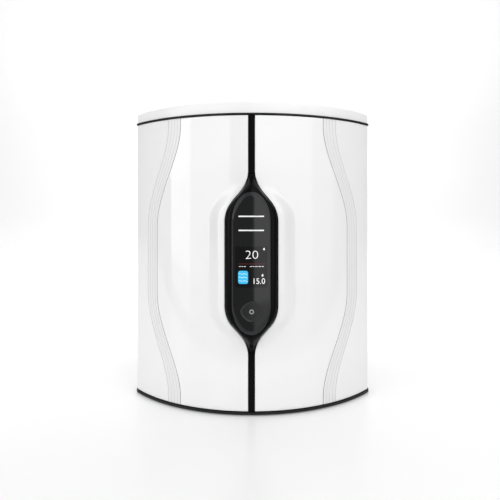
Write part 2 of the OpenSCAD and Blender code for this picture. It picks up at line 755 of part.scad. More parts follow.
module pod_lens() color([0.10, 0.10, 0.11]) difference() {
    intersection() {
        bow_ring(lens_back_r, face_r, pod_z - 110, pod_z + 110);
        front_prism(lens_outline());
    }
    front_prism(diamond(button_w + 2 * seat_gap, button_h + 2 * seat_gap));
    for (v = [bar_lower_v, bar_upper_v])
        translate([-bar_w / 2 - 0.1, -front_reach, pod_z + v - bar_h / 2 - 0.1])
            cube([bar_w + 0.2, front_reach, bar_h + 0.2]);
}

module light_bars() color([0.97, 0.97, 0.98])
    for (v = [bar_lower_v, bar_upper_v]) intersection() {
        translate([-bar_w / 2, -front_reach, pod_z + v - bar_h / 2])
            cube([bar_w, front_reach + board_front_y - seat_gap, bar_h]);
        translate([0, bow_y, pod_z + v - bar_h]) cylinder(r = face_r, h = 2 * bar_h);
    }

module display_module() color([0.12, 0.13, 0.15])
    translate([-display_w / 2, display_front_y, pod_z + display_v - display_h / 2])
        cube([display_w, board_front_y - seat_gap - display_front_y, display_h]);

module control_board() color([0.10, 0.32, 0.20]) {
    difference() {
        translate([-board_hw, board_front_y, pod_z + board_v0])
            cube([2 * board_hw, board_t, board_v1 - board_v0]);
        for (x = [-1, 1], v = [board_v0 + 6, board_v1 - 6])
            translate([x * (board_hw - 5), board_front_y - 1, pod_z + v]) rotate([-90, 0, 0])
                cylinder(r = 1.2, h = board_t + 2);
    }
    translate([-3, board_front_y - 3, pod_z + button_v - 3]) cube([6, 3 + eps, 6]);
}

module control_button() color([0.11, 0.11, 0.12]) {
    intersection() {
        front_prism(diamond(button_w, button_h), y1 = button_skirt_y + eps);
        translate([0, bow_y, pod_z + button_v - button_h]) cylinder(r = face_r, h = 2 * button_h);
    }
    front_prism(diamond(button_w + 3, button_h + 3), y0 = button_skirt_y,
        y1 = button_skirt_y + button_skirt_t);
    translate([0, stem_end_y, pod_z + button_v]) rotate([90, 0, 0])
        cylinder(r = 3, h = stem_end_y - button_skirt_y - eps);
}

// Doors

// Where the ribbon's inner edge lies along the bow at height v
function ribbon_s(v) = ribbon_end_s + (ribbon_mid_s - ribbon_end_s)
    * (1 - smooth((abs(v) - ribbon_wave_from) / (ribbon_wave_to - ribbon_wave_from)));

// The door's heights from the pod's middle: close together where the flare curves
function door_levels() =
    let (
        half = door_h / 2,
        low = [for (i = [0:5]) -half + (half - flare_to) * i / 6],
        flare = [for (i = [0:11]) -flare_to + (flare_to - flare_from) * i / 12],
        mid = [for (v = [-flare_from, -flare_from / 3]) v],
        lower = concat(low, flare, mid)
    )
    concat(lower, [for (i = [len(lower) - 1:-1:0]) -lower[i]]);

// One level of the right door: pairs of an outer and an inner point, from the free edge to the wrapped corner
function door_row(v) =
    let (
        rise = swell(v),
        edge_x = pod_half(v),
        flat_w = 0.22 * blister_w,
        shape = function (e) bow_r + rise * (1 - smooth((e - flat_w) / (blister_w - flat_w))),
        on_x = function (x, r) [x, bow_at(x, r), pod_z + v],
        on_s = function (s, r) let (a = s / bow_r * 180 / PI) [r * sin(a), bow_y - r * cos(a), pod_z + v],
        on_corner = function (a, r) [hinge_x + r * cos(a), hinge_y + r * sin(a), pod_z + v],
        swollen = [for (k = [0, 0.12, 0.26, 0.4, 0.52, 0.64, 0.76, 0.88, 1]) let (e = k * blister_w)
            [on_x(edge_x + e, shape(e)), on_x(edge_x + e, shape(e) - door_wall)]],
        s0 = bow_r * asin((edge_x + blister_w) / bow_r) * PI / 180,
        s1 = ribbon_s(v),
        s2 = s1 + ribbon_w,
        step = 0.5,
        plain = [for (k = [0.25, 0.5, 0.75, 1]) s0 + k * (s1 - s0)],
        sunk = [s1 + step, (s1 + s2) / 2, s2 - step],
        last = [for (k = [0, 0.25, 0.5, 0.75]) s2 + k * (corner_s - s2)],
        pair = function (s, r) [on_s(s, r), on_s(s, door_in_r)],
        corner = [for (i = [0:5]) let (a = corner_angle + (wrap_angle - corner_angle) * i / 5)
            [on_corner(a, hinge_r), on_corner(a, hinge_r - door_wall)]]
    )
    concat(swollen, [for (s = plain) pair(s, bow_r)], [for (s = sunk) pair(s, bow_r - ribbon_depth)],
        [for (s = last) pair(s, bow_r)], corner);

module door_shell() {
    rows = [for (v = door_levels()) door_row(v + door_z0 + door_h / 2 - pod_z)];
    wall_skin([for (row = rows) [for (p = row) p[0]]], [for (row = rows) [for (p = row) p[1]]]);
}

module right_door_shell() color([0.96, 0.96, 0.97]) door_shell();

module left_door_shell() color([0.96, 0.96, 0.97]) mirror([1, 0, 0]) door_shell();

module hinge_rail() difference() {
    union() {
        hinge_axis(rail_z0) cylinder(r = rail_r, h = rail_z1 - rail_z0);
        bow_sector(door_in_r - 2.8, door_in_r - 0.8, 90 + corner_angle - rail_flange_angle,
            90 + corner_angle - 0.3, rail_z0, rail_z1);
    }
    hinge_axis(rail_z0 - 1) cylinder(r = bush_r + 0.02, h = bush_depth + 1.2);
    hinge_axis(rail_z1 - bush_depth - 0.2) cylinder(r = bush_r + 0.02, h = bush_depth + 1.2);
}

module right_hinge_rail() color([0.72, 0.73, 0.75]) hinge_rail();

module left_hinge_rail() color([0.72, 0.73, 0.75]) mirror([1, 0, 0]) hinge_rail();

module hinge_bush() difference() {
    union() {
        cylinder(r = bush_r, h = bush_flange_t + bush_depth);
        cylinder(r = rail_r - 0.2, h = bush_flange_t);
    }
    translate([0, 0, -1]) cylinder(r = pin_r + run_fit, h = bush_flange_t + bush_depth + 2);
}

module hinge_bushes() {
    hinge_axis(base_z1 + bush_play) hinge_bush();
    hinge_axis(deck_z0 - bush_play) mirror([0, 0, 1]) hinge_bush();
}

module right_hinge_bushes() color([0.88, 0.86, 0.80]) hinge_bushes();

module left_hinge_bushes() color([0.88, 0.86, 0.80]) mirror([1, 0, 0]) hinge_bushes();

module hinge_pins() color([0.70, 0.71, 0.73]) both_sides() {
    hinge_axis(base_z0 + 0.5) cylinder(r = pin_r, h = base_plate_t - 0.5 + pin_reach);
    hinge_axis(deck_z0 - pin_reach) cylinder(r = pin_r, h = pin_reach + top_plate_t + pin_boss_h - 1.2);
}

module striker_plates() {
    half_h = 14;
    for (v = [-magnet_v, magnet_v])
        bow_sector(striker_r0, striker_r1, magnet_angle - 1.2, magnet_angle + 1.2, pod_z + v - half_h,
            pod_z + v + half_h);
}

module right_striker_plates() color([0.62, 0.63, 0.65]) striker_plates();

module left_striker_plates() color([0.62, 0.63, 0.65]) mirror([1, 0, 0]) striker_plates();

// Cartridges and their manifolds

module manifold() difference() {
    c1 = cartridge_at[0];
    c2 = cartridge_at[1];
    across = (c2 - c1) / norm(c2 - c1);
    out = [across[1], -across[0]];
    arm = [c1 + socket_r * out, c2 + socket_r * out, c2 + [socket_r, 0], [c2[0] + socket_r, bulkhead_y],
        [c1[0] - socket_r, bulkhead_y], c1 - [socket_r, 0]];
    channel_r = lug_r + 0.5;
    union() {
        translate([0, 0, manifold_z1 - 12]) linear_extrude(12) polygon(arm);
        for (c = cartridge_at) translate([c[0], c[1], 0]) {
            translate([0, 0, socket_z0]) cylinder(r = socket_r, h = manifold_z1 - socket_z0);
            translate([0, 0, manifold_z1 - eps]) cylinder(r = stub_r, h = stub_z1 - manifold_z1);
        }
        translate([c1[0] - socket_r, bulkhead_y - 5, socket_z0])
            cube([c2[0] - c1[0] + 2 * socket_r, 5, manifold_z1 - socket_z0]);
        for (x = [c1[0], c2[0]]) translate([x - 2.5, c2[1], socket_z0 + 14])
            cube([5, bulkhead_y - c2[1] - 1, manifold_z1 - socket_z0 - 20]);
    }
    for (c = cartridge_at) translate([c[0], c[1], 0]) {
        translate([0, 0, socket_z0 - 1]) cylinder(r = neck_r + 0.1, h = neck_z1 - socket_z0 + 1.4);
        translate([0, 0, neck_z1]) cylinder(r = nozzle_r + 0.15, h = nozzle_z1 - neck_z1 + 0.6);
        translate([0, 0, lug_z0 - 0.6]) cylinder(r = channel_r, h = lug_h + 1.2);
        intersection() {
            translate([-7, -channel_r, socket_z0 - 1]) cube([14, 2 * channel_r, lug_z0 - socket_z0 + 1]);
            translate([0, 0, socket_z0 - 1]) cylinder(r = channel_r, h = lug_z0 - socket_z0 + 1);
        }
        translate([0, 0, nozzle_z1]) cylinder(r = 3, h = stub_z1 - nozzle_z1 + 1);
    }
}

module right_manifold() color([0.80, 0.82, 0.84]) manifold();

module left_manifold() color([0.80, 0.82, 0.84]) mirror([1, 0, 0]) manifold();

module bottle() rotate_extrude() polygon([
    [0, bottle_z0], [cartridge_r - 4, bottle_z0], [cartridge_r, bottle_z0 + 4],
    [cartridge_r, bottle_z0 + band_z], [cartridge_r - band_depth, bottle_z0 + band_z + 2],
    [cartridge_r - band_depth, bottle_z0 + band_z + band_w - 2], [cartridge_r, bottle_z0 + band_z + band_w],
    [cartridge_r, bottle_z1 - head_skirt_h - 5],
    [cartridge_r - 1.5, bottle_z1 - head_skirt_h - 3], [cartridge_r - 1.5, bottle_z1 - head_skirt_h - 1],
    [bottle_neck_r, bottle_z1 - head_skirt_h - 1], [bottle_neck_r, bottle_z1], [0, bottle_z1]]);

module head() difference() {
    union() {
        translate([0, 0, bottle_z1 - head_skirt_h])
            cylinder(r = cartridge_r, h = head_z1 - bottle_z1 + head_skirt_h - 3);
        translate([0, 0, head_z1 - 3]) cylinder(r1 = cartridge_r, r2 = cartridge_r - 3, h = 3);
        translate([0, 0, head_z1 - eps]) cylinder(r = neck_r, h = neck_z1 - head_z1 + eps);
        translate([0, 0, neck_z1 - eps]) cylinder(r = nozzle_r, h = nozzle_z1 - neck_z1 + eps);
        intersection() {
            translate([-lug_r, -6, lug_z0]) cube([2 * lug_r, 12, lug_h]);
            translate([0, 0, lug_z0]) cylinder(r = lug_r, h = lug_h);
        }
    }
    translate([0, 0, bottle_z1 - head_skirt_h - 1])
        cylinder(r = bottle_neck_r + seat_gap, h = head_skirt_h + 1 + seat_gap);
    for (i = [0:flute_count - 1]) rotate([0, 0, 360 * (i + 0.5) / flute_count])
        translate([cartridge_r + 1.4, 0, bottle_z1 - head_skirt_h - 1]) cylinder(r = 3, h = head_skirt_h + 3);
    for (z = [neck_z1 - 5, neck_z1 - 11]) translate([0, 0, z]) difference() {
        cylinder(r = neck_r + 1, h = 2.5);
        translate([0, 0, -1]) cylinder(r = neck_r - 1.6, h = 5);
    }
}

// Cartridges are numbered from the left: outer left, inner left, inner right, outer right
module place_cartridge(i) {
    inner = i == 2 || i == 3;
    p = cartridge_at[inner ? 0 : 1];
    translate([i <= 2 ? -p[0] : p[0], p[1], 0]) children();
}

module cartridge_bottle(i) color([0.94, 0.95, 0.96]) place_cartridge(i) bottle();

module cartridge_head(i) color([0.16, 0.45, 0.72]) place_cartridge(i) head();

// Rear bay

module membrane_vessel() color([0.92, 0.93, 0.94])
    translate([vessel_at[0], vessel_at[1], vessel_z0 + vessel_cap_h / 2])
        cylinder(r = vessel_r, h = vessel_h);

module membrane_end_caps() color([0.20, 0.21, 0.23]) {
    z1 = vessel_z0 + vessel_cap_h / 2 + vessel_h;
    translate([vessel_at[0], vessel_at[1], 0]) difference() {
        union() {
            translate([0, 0, vessel_z0]) cylinder(r = vessel_cap_r, h = vessel_cap_h);
            translate([0, 0, z1 - vessel_cap_h / 2]) cylinder(r = vessel_cap_r, h = vessel_cap_h);
            translate([0, 0, z1 + vessel_cap_h / 2 - eps]) cylinder(r = stub_r, h = 8);
        }
        translate([0, 0, vessel_z0 + vessel_cap_h / 2 - seat_gap])
            cylinder(r = vessel_r + seat_gap, h = vessel_h + 2 * seat_gap);
    }
}

module at_chamber(z) {
    translate([chamber_at[0], chamber_at[1], chamber_z0 + z]) children();
}

module lamp_chamber() color([0.78, 0.79, 0.80]) difference() {
    union() {
        at_chamber(0) cylinder(r = chamber_r, h = chamber_h);
        at_chamber(-chamber_end_h) cylinder(r = chamber_r - 6, h = chamber_h + 2 * chamber_end_h);
    }
    at_chamber(chamber_floor) cylinder(r = chamber_r - 1.5, h = chamber_h - 2 * chamber_floor);
    for (z = [-chamber_end_h - 1, chamber_h - chamber_floor - 1]) at_chamber(z)
        cylinder(r = 3, h = chamber_end_h + chamber_floor + 2);
}

module lamp() color([0.85, 0.92, 0.97, 0.6]) at_chamber(chamber_floor + 0.1)
    cylinder(r = 9, h = chamber_h - 2 * chamber_floor - 0.2);

module vessel_clip(at, r, z) {
    band = 3;
    in_r = r + seat_gap;
    translate([at[0], at[1], z]) difference() {
        union() {
            cylinder(r = in_r + band, h = clip_h);
            translate([-10, bay_y - at[1] + seat_gap, 0]) cube([20, at[1] - bay_y - in_r, clip_h]);
        }
        translate([0, 0, -1]) cylinder(r = in_r, h = clip_h + 2);
    }
}

module vessel_clips() color([0.85, 0.86, 0.87]) {
    for (k = [0.22, 0.78]) vessel_clip(vessel_at, vessel_r, vessel_z0 + vessel_cap_h / 2 + k * vessel_h);
    for (k = [0.15, 0.8]) vessel_clip(chamber_at, chamber_r, chamber_z0 + k * chamber_h);
}

module at_pump(z) {
    translate([pump_at[0], pump_at[1], z]) children();
}

impeller_r = pump_r - 11;
cavity_r = impeller_r + 1.5;

module pump_cradle() color([0.22, 0.22, 0.24]) difference() {
    half = pump_r + 8;
    at_pump(floor_z) translate([-half, -half, 0]) cube([2 * half, 2 * half, cradle_t]);
    for (x = [-1, 1], y = [-1, 1]) at_pump(floor_z - 1) translate([x * (half - 6), y * (half - 6), 0])
        cylinder(r = 2.2, h = cradle_t + 2);
}

module pump_volute() color([0.30, 0.31, 0.33]) difference() {
    at_pump(pump_z0) cylinder(r = pump_r, h = volute_h);
    at_pump(pump_z0 + 4) cylinder(r = cavity_r, h = volute_h);
    at_pump(water_z) rotate([0, 90, 180]) cylinder(r = 3, h = pump_r + 2);
    at_pump(water_z) rotate([90, 0, 0]) cylinder(r = 3, h = pump_r + 2);
}

module pump_motor() color([0.55, 0.56, 0.58]) difference() {
    union() {
        at_pump(pump_z0 + volute_h) cylinder(r = pump_r, h = pump_cover_h);
        at_pump(motor_z0 - eps) cylinder(r = motor_r, h = motor_h);
    }
    at_pump(pump_z0 + volute_h - 1) cylinder(r = shaft_r + run_fit, h = pump_cover_h + motor_h - 3);
    for (i = [0:11]) at_pump(motor_z0 + 12) rotate([0, 0, 30 * i]) translate([motor_r, 0, 0])
        cylinder(r = 1.6, h = motor_h - 24);
}

module pump_impeller() color([0.90, 0.90, 0.88]) {
    blade_h = 9;
    disc_h = 3;
    z0 = pump_z0 + 5.5;
    difference() {
        union() {
            at_pump(z0) cylinder(r = impeller_r, h = disc_h);
            at_pump(z0) cylinder(r = shaft_r + 5, h = disc_h + blade_h);
            for (i = [0:blade_count - 1]) at_pump(z0 + disc_h - eps) rotate([0, 0, 360 * i / blade_count])
                translate([shaft_r + 3, -1, 0]) rotate([0, 0, 18])
                    cube([impeller_r - shaft_r - 6, 2, blade_h]);
        }
        at_pump(z0 - 1) cylinder(r = shaft_r + 0.02, h = disc_h + blade_h + 2);
    }
}

module pump_shaft() color([0.75, 0.76, 0.78])
    at_pump(pump_z0 + 5.5) cylinder(r = shaft_r, h = volute_h - 5.5 + pump_cover_h + motor_h - 6);

module pressure_regulator() color([0.60, 0.62, 0.64]) {
    x = ports_x[0];
    z0 = block_z + regulator_lift;
    translate([x, valve_y, z0]) cylinder(r = regulator_r, h = regulator_h);
    translate([x - regulator_r, valve_y, z0 + regulator_h / 5])
        cube([2 * regulator_r, rear_inner_y - seat_gap - valve_y, 0.6 * regulator_h]);
}

module inlet_solenoid() color([0.15, 0.16, 0.18]) {
    x = ports_x[0];
    half = coil_w / 2;
    translate([x - half, valve_y - half, solenoid_z0]) cube([coil_w, coil_w, coil_h]);
    translate([x, valve_y, solenoid_z0 + coil_h - eps]) cylinder(r = 6, h = solenoid_neck);
    translate([x, valve_y + half - 0.1, solenoid_z0 + coil_h / 2]) rotate([-90, 0, 0])
        cylinder(r = coil_h / 2 - 1, h = rear_inner_y - seat_gap - valve_y - half + 0.1);
}

module drain_solenoid() color([0.15, 0.16, 0.18]) {
    x = ports_x[1];
    z0 = block_z - drain_w / 2;
    translate([x - drain_w / 2, block_y0 - seat_gap - drain_d, z0]) cube([drain_w, drain_d, drain_h]);
    translate([x, block_y0 - seat_gap - drain_d / 2, z0 + drain_h - eps])
        cylinder(r = drain_d / 2, h = drain_coil_h);
}

board_x = inner_hw - 12;
main_board_y = bay_y + 16;
main_board_z = pod_z - 30;

// At the main board's four holes, turned so that Z points to the side panel
module at_board_corners(dx) {
    in = 8;
    for (y = [in, main_board_l - in], z = [in, main_board_h - in])
        translate([board_x + dx, main_board_y + y, main_board_z + z]) rotate([0, 90, 0]) children();
}

module main_board() color([0.10, 0.32, 0.20]) {
    difference() {
        translate([board_x, main_board_y, main_board_z]) cube([board_t, main_board_l, main_board_h]);
        at_board_corners(-1) cylinder(r = 1.7, h = board_t + 2);
    }
    for (p = [[20, 30, 24, 30], [55, 40, 30, 20], [30, 110, 40, 40], [76, 130, 12, 34]])
        translate([board_x - 7, main_board_y + p[0], main_board_z + p[1]]) cube([7 + eps, p[2], p[3]]);
}

module board_standoffs() color([0.72, 0.73, 0.75])
    at_board_corners(board_t) cylinder(r = 3.5, h = inner_hw - board_x - board_t, $fn = 6);

module internal_tubes() color([0.75, 0.83, 0.90]) {
    c = cartridge_at[0];
    cap_y = vessel_at[1] + vessel_cap_r + seat_gap;
    lane_y = vessel_at[1] + vessel_cap_r + 12;
    feed_x = ports_x[0];
    vessel_top = vessel_z0 + vessel_cap_h + vessel_h + 8 + seat_gap;
    reject_z = water_z + 3.3 * tube_r;
    // Feed port to regulator
    tube_run([[feed_x, block_y0 - seat_gap, block_z], [feed_x, valve_y, block_z],
        [feed_x, valve_y, block_z + regulator_lift - seat_gap]], tube_r, tube_bend);
    // Solenoid to the membrane vessel's top
    tube_run([[feed_x, valve_y, solenoid_z0 + coil_h + solenoid_neck + seat_gap],
        [feed_x, valve_y, vessel_top + 14],
        [vessel_at[0], valve_y, vessel_top + 14], [vessel_at[0], vessel_at[1], vessel_top + 14],
        [vessel_at[0], vessel_at[1], vessel_top]], tube_r, tube_bend);
    // Membrane vessel to the pump, with a branch to the tank port
    tube_run([[vessel_at[0] - 10, cap_y, water_z], [vessel_at[0] - 10, lane_y, water_z],
        [pump_at[0] - pump_r - 16, lane_y, water_z], [pump_at[0] - pump_r - 16, pump_at[1], water_z],
        [pump_at[0] - pump_r - seat_gap, pump_at[1], water_z]], tube_r, tube_bend);
    rod([ports_x[2], lane_y, water_z], [ports_x[2], block_y0 - seat_gap, water_z], tube_r);
    // Membrane vessel to the drain solenoid
    tube_run([[vessel_at[0] + 10, cap_y, reject_z], [vessel_at[0] + 10, lane_y, reject_z],
        [ports_x[1], lane_y, reject_z], [ports_x[1], block_y0 - drain_d - 2 * seat_gap, reject_z]],
        tube_r, tube_bend);
    // Pump to the lamp chamber
    low_y = bay_y + 13;
    tube_run([[pump_at[0], pump_at[1] - pump_r - seat_gap, water_z], [pump_at[0], low_y, water_z],
        [chamber_at[0], low_y, water_z], [chamber_at[0], chamber_at[1], water_z],
        [chamber_at[0], chamber_at[1], chamber_z0 - chamber_end_h - seat_gap]], tube_r, tube_bend);
    // Lamp chamber to the left manifold
    tube_run([[chamber_at[0], chamber_at[1], chamber_z0 + chamber_h + chamber_end_h + seat_gap],
        [chamber_at[0], chamber_at[1], over_z], [-c[0], c[1], over_z], [-c[0], c[1], stub_z1 + seat_gap]],
        tube_r, tube_bend - 0.5);
    // Left manifold to the right manifold
    c2 = cartridge_at[1];
    tube_run([[-c2[0], c2[1], stub_z1 + seat_gap], [-c2[0], c2[1], cross_z], [c2[0], c2[1], cross_z],
        [c2[0], c2[1], stub_z1 + seat_gap]], tube_r, tube_bend);
    // Right manifold to the product port
    last_x = ports_x[port_count - 1];
    back_y = block_y0 - 20;
    tube_run([[last_x, c[1], stub_z1 + seat_gap], [last_x, c[1], over_z], [last_x, back_y, over_z],
        [last_x, back_y, block_z], [last_x, block_y0 - seat_gap, block_z]], tube_r, tube_bend - 0.5);
}

// In-line conductivity cells on the tubes over the bay, and a leak sensor on the floor
module water_sensors() color([0.13, 0.13, 0.14]) {
    leak_r = 1.5 * tube_d;
    for (x = [chamber_at[0], ports_x[port_count - 1]]) difference() {
        translate([x - cell_size[0] / 2, bay_y + 2, over_z - cell_size[2] / 2]) cube(cell_size);
        translate([x, bay_y + 1, over_z]) rotate([-90, 0, 0])
            cylinder(r = tube_r + 0.05, h = cell_size[1] + 2);
    }
    translate([-leak_r, (bay_y + block_y0) / 2, floor_z]) {
        cylinder(r = leak_r, h = 2);
        cylinder(r = leak_r - 3, h = tube_d);
    }
}

// Rear connections

module connection_block() color([0.18, 0.19, 0.20]) difference() {
    b = connection_box(0);
    union() {
        translate([b[0], block_y0, b[2]]) cube([b[1] - b[0], block_y1 - block_y0, b[3] - b[2]]);
        for (x = ports_x) translate([x, block_y1 - eps, block_z]) rotate([-90, 0, 0])
            cylinder(r = fitting_r, h = fitting_y1 - block_y1 + eps);
        for (z = [b[2], b[3] - 4]) translate([b[0], block_y1 - eps, z])
            cube([b[1] - b[0], rear_inner_y - block_y1, 4]);
    }
    for (x = ports_x) translate([x, 0, block_z]) rotate([-90, 0, 0]) {
        translate([0, 0, block_y0 - 1]) cylinder(r = tube_r - 1, h = 30);
        translate([0, 0, block_y0 + 2]) cylinder(r = tube_r + tube_fit, h = 30);
        translate([0, 0, collet_in_y]) cylinder(r = collet_r + run_fit, h = 30);
    }
}

module collet(i) color([0.86, 0.87, 0.88])
    translate([ports_x[i - 1], 0, block_z]) rotate([-90, 0, 0]) difference() {
        flange_r = collet_r + 2.2;
        flange_t = 1.6;
        union() {
            translate([0, 0, collet_in_y + collet_travel + seat_gap])
                cylinder(r = collet_r,
                    h = collet_flange_y + flange_t - collet_in_y - collet_travel - seat_gap);
            translate([0, 0, collet_flange_y]) cylinder(r = flange_r, h = flange_t);
        }
        translate([0, 0, collet_in_y - 1]) cylinder(r = tube_r + tube_fit, h = 40);
    }

module power_inlet() color([0.10, 0.10, 0.11]) {
    cavity_r = 7;
    depth = 11;
    y0 = rear_inner_y - 12;
    difference() {
        translate([power_at[0] - power_size[0] / 2, y0, power_at[1] - power_size[1] / 2])
            cube([power_size[0], house_rear_y - y0, power_size[1]]);
        translate([power_at[0], house_rear_y + 1, power_at[1]]) rotate([90, 0, 0])
            cylinder(r = cavity_r, h = depth + 1);
    }
    for (a = [45:90:315])
        translate([power_at[0] + 3.5 * cos(a), house_rear_y - depth - eps, power_at[1] + 3.5 * sin(a)])
            rotate([-90, 0, 0]) cylinder(r = 0.6, h = 4);
}

module data_socket() color([0.62, 0.63, 0.65]) difference() {
    y0 = rear_inner_y - 12;
    cavity = [11.8, 8];
    translate([data_at[0] - data_size[0] / 2, y0, data_at[1] - data_size[1] / 2])
        cube([data_size[0], house_rear_y - y0, data_size[1]]);
    translate([data_at[0] - cavity[0] / 2, y0 + 2, data_at[1] - cavity[1] / 2])
        cube([cavity[0], 20, cavity[1]]);
}

base_tray();
rubber_feet();
left_side_panel();
right_side_panel();
rear_panel();
bulkhead();
centre_spine();
top_deck();
top_cap();
centre_strip();
pod_bezel();
pod_lens();
light_bars();
display_module();
control_board();
control_button();
left_door_shell();
right_door_shell();
left_hinge_rail();
right_hinge_rail();
left_hinge_bushes();
right_hinge_bushes();
hinge_pins();
left_striker_plates();
right_striker_plates();
door_magnets();
left_manifold();
right_manifold();
cartridge_bottle(1);  // cartridge_1_bottle
cartridge_bottle(2);  // cartridge_2_bottle
cartridge_bottle(3);  // cartridge_3_bottle
cartridge_bottle(4);  // cartridge_4_bottle
cartridge_head(1);  // cartridge_1_head
cartridge_head(2);  // cartridge_2_head
cartridge_head(3);  // cartridge_3_head
cartridge_head(4);  // cartridge_4_head
membrane_vessel();
membrane_end_caps();
lamp_chamber();
lamp();
vessel_clips();
pump_volute();
pump_motor();
pump_impeller();
pump_shaft();
pump_cradle();
pressure_regulator();
inlet_solenoid();
drain_solenoid();
main_board();
board_standoffs();
internal_tubes();
water_sensors();
connection_block();
collet(1);  // collet_1
collet(2);  // collet_2
collet(3);  // collet_3
collet(4);  // collet_4
power_inlet();
data_socket();
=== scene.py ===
import math

import bmesh
import bpy
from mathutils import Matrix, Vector


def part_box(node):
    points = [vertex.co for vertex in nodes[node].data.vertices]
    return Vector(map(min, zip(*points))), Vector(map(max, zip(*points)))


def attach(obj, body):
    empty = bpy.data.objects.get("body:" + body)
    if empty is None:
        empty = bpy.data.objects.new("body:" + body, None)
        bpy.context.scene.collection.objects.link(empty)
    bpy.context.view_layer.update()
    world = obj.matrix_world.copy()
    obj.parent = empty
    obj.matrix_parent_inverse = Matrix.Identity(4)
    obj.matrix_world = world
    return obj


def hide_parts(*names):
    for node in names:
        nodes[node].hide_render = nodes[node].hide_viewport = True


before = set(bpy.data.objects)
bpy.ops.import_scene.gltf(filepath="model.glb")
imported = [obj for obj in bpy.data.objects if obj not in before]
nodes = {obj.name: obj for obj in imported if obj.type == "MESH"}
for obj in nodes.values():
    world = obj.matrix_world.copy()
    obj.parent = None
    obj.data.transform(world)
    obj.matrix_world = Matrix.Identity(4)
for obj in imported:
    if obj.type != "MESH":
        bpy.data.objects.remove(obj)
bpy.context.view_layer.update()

# Sizes are in millimetres, as in the part's source, and become metres where a mesh is made
MM = 0.001
# Points closer than this are joined into one
MERGE = 0.001
RIGHT_ANGLE = math.pi / 2
# Faces that meet at more than this many degrees have a sharp edge between them
SHARP = 35

# Plan of the cabinet: the doors, and the lens's face further out, are bowed about a centre at BOW_Y, and
# the front corners are round about the hinges
BOW_R, BOW_Y = 240.0, 88.0
FACE_R = 258.0
HINGE_R = 9.0
HOUSE_HW = 183.5
REAR_Y, REAR_R = 168.5, 8.0
DOOR_WALL, EDGE_GAP, SEAT_GAP = 3.0, 0.8, 0.3
WRAP_ANGLE = math.radians(28)

HINGE_X = HOUSE_HW - HINGE_R
HINGE_Y = BOW_Y - math.sqrt((BOW_R - HINGE_R) ** 2 - HINGE_X**2)
CORNER_ANGLE = math.atan2(HINGE_Y - BOW_Y, HINGE_X)
CORNER_S = BOW_R * (math.pi / 2 + CORNER_ANGLE)

# Heights, from the frame
DOOR_BOTTOM, DOOR_TOP = (corner[2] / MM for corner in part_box("right_door_shell"))
DOOR_HALF = (DOOR_TOP - DOOR_BOTTOM) / 2
POD_Z = (DOOR_BOTTOM + DOOR_TOP) / 2
CAP_BOTTOM, CAP_TOP = (corner[2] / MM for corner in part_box("top_cap"))

# The opening between the doors, wide at the pod and narrow at the strip, and the swelling round it
POD_HW, STRIP_HW = 37.4, 4.9
FLARE_V, FLARE_ANGLE, FLARE_R = 75.4, math.radians(40), 47.0
FLARE_FROM = FLARE_V - FLARE_R * math.tan(FLARE_ANGLE / 2)
FLARE_TO = FLARE_V + (POD_HW - STRIP_HW) / math.tan(FLARE_ANGLE) + FLARE_R * math.tan(FLARE_ANGLE / 2)
POD_END_V = FLARE_TO - 4
SWELL_FROM_V, SWELL_TO_V = FLARE_V - 5, FLARE_TO - 14
BLISTER_RISE, BLISTER_W = 11.0, 26.0
BLISTER_FLAT = 0.22 * BLISTER_W

# The lens with its bevelled face, the button, the light bars and the display; a V is a height from POD_Z
LENS_HW, LENS_TOP_V, LENS_BOTTOM_V, LENS_ARCH_H, LENS_T = 27.1, 100.2, 97.2, 42.0, 2.3
FACE_HW, FACE_ARCH_H, BEVEL_DROP = 25.6, 36.4, 1.0
BUTTON_W, BUTTON_H, BUTTON_V, BUTTON_BEND, BUTTON_T = 30.0, 28.5, -64.8, 1.25, 1.5
BAR_W, BAR_H, BARS_V = 35.4, 1.9, (47.1, 66.4)
DISPLAY_W, DISPLAY_H, DISPLAY_V = 44.6, 56.6, -3.2

# The ribbon that runs down each door and waves outward round the pod
RIBBON_W, RIBBON_DEPTH, RIBBON_LINES = 22.3, 0.3, 5
RIBBON_END_S, RIBBON_MID_S = 108.0, 154.0
RIBBON_WAVE_FROM, RIBBON_WAVE_TO = 50.0, 198.0


# Shapes

def smooth(t):
    t = min(max(t, 0.0), 1.0)
    return t * t * (3 - 2 * t)


def spread(a, b, count):
    """count + 1 values from a to b."""
    return [a + (b - a) * i / count for i in range(count + 1)]


def bow_y(x, r):
    return BOW_Y - math.sqrt(r * r - x * x)


def on_bow(s, r, z):
    """The point at a distance s along the doors' bow from the middle, at radius r."""
    a = s / BOW_R
    return (r * math.sin(a), BOW_Y - r * math.cos(a), z)


def pod_half(v, grow=0.0):
    """Half width of the opening between the doors at height v from the pod's middle."""
    a = abs(v)
    r1, r2 = FLARE_R + grow, FLARE_R - grow
    v1 = FLARE_FROM + r1 * math.sin(FLARE_ANGLE)
    v2 = FLARE_TO - r2 * math.sin(FLARE_ANGLE)
    if a <= FLARE_FROM:
        return POD_HW + grow
    if a <= v1:
        return POD_HW - FLARE_R + math.sqrt(r1 * r1 - (a - FLARE_FROM) ** 2)
    if a < v2:
        return POD_HW - FLARE_R + r1 * math.cos(FLARE_ANGLE) - (a - v1) * math.tan(FLARE_ANGLE)
    if a < FLARE_TO:
        return STRIP_HW + FLARE_R - math.sqrt(r2 * r2 - (FLARE_TO - a) ** 2)
    return STRIP_HW + grow


def swell(v):
    return BLISTER_RISE * (1 - smooth((abs(v) - SWELL_FROM_V) / (SWELL_TO_V - SWELL_FROM_V)))


def shoulder_v(end):
    """Height from the pod's middle where the lens's upper arch (end 1) or lower arch (end -1) starts."""
    return (LENS_TOP_V if end > 0 else LENS_BOTTOM_V) - LENS_ARCH_H


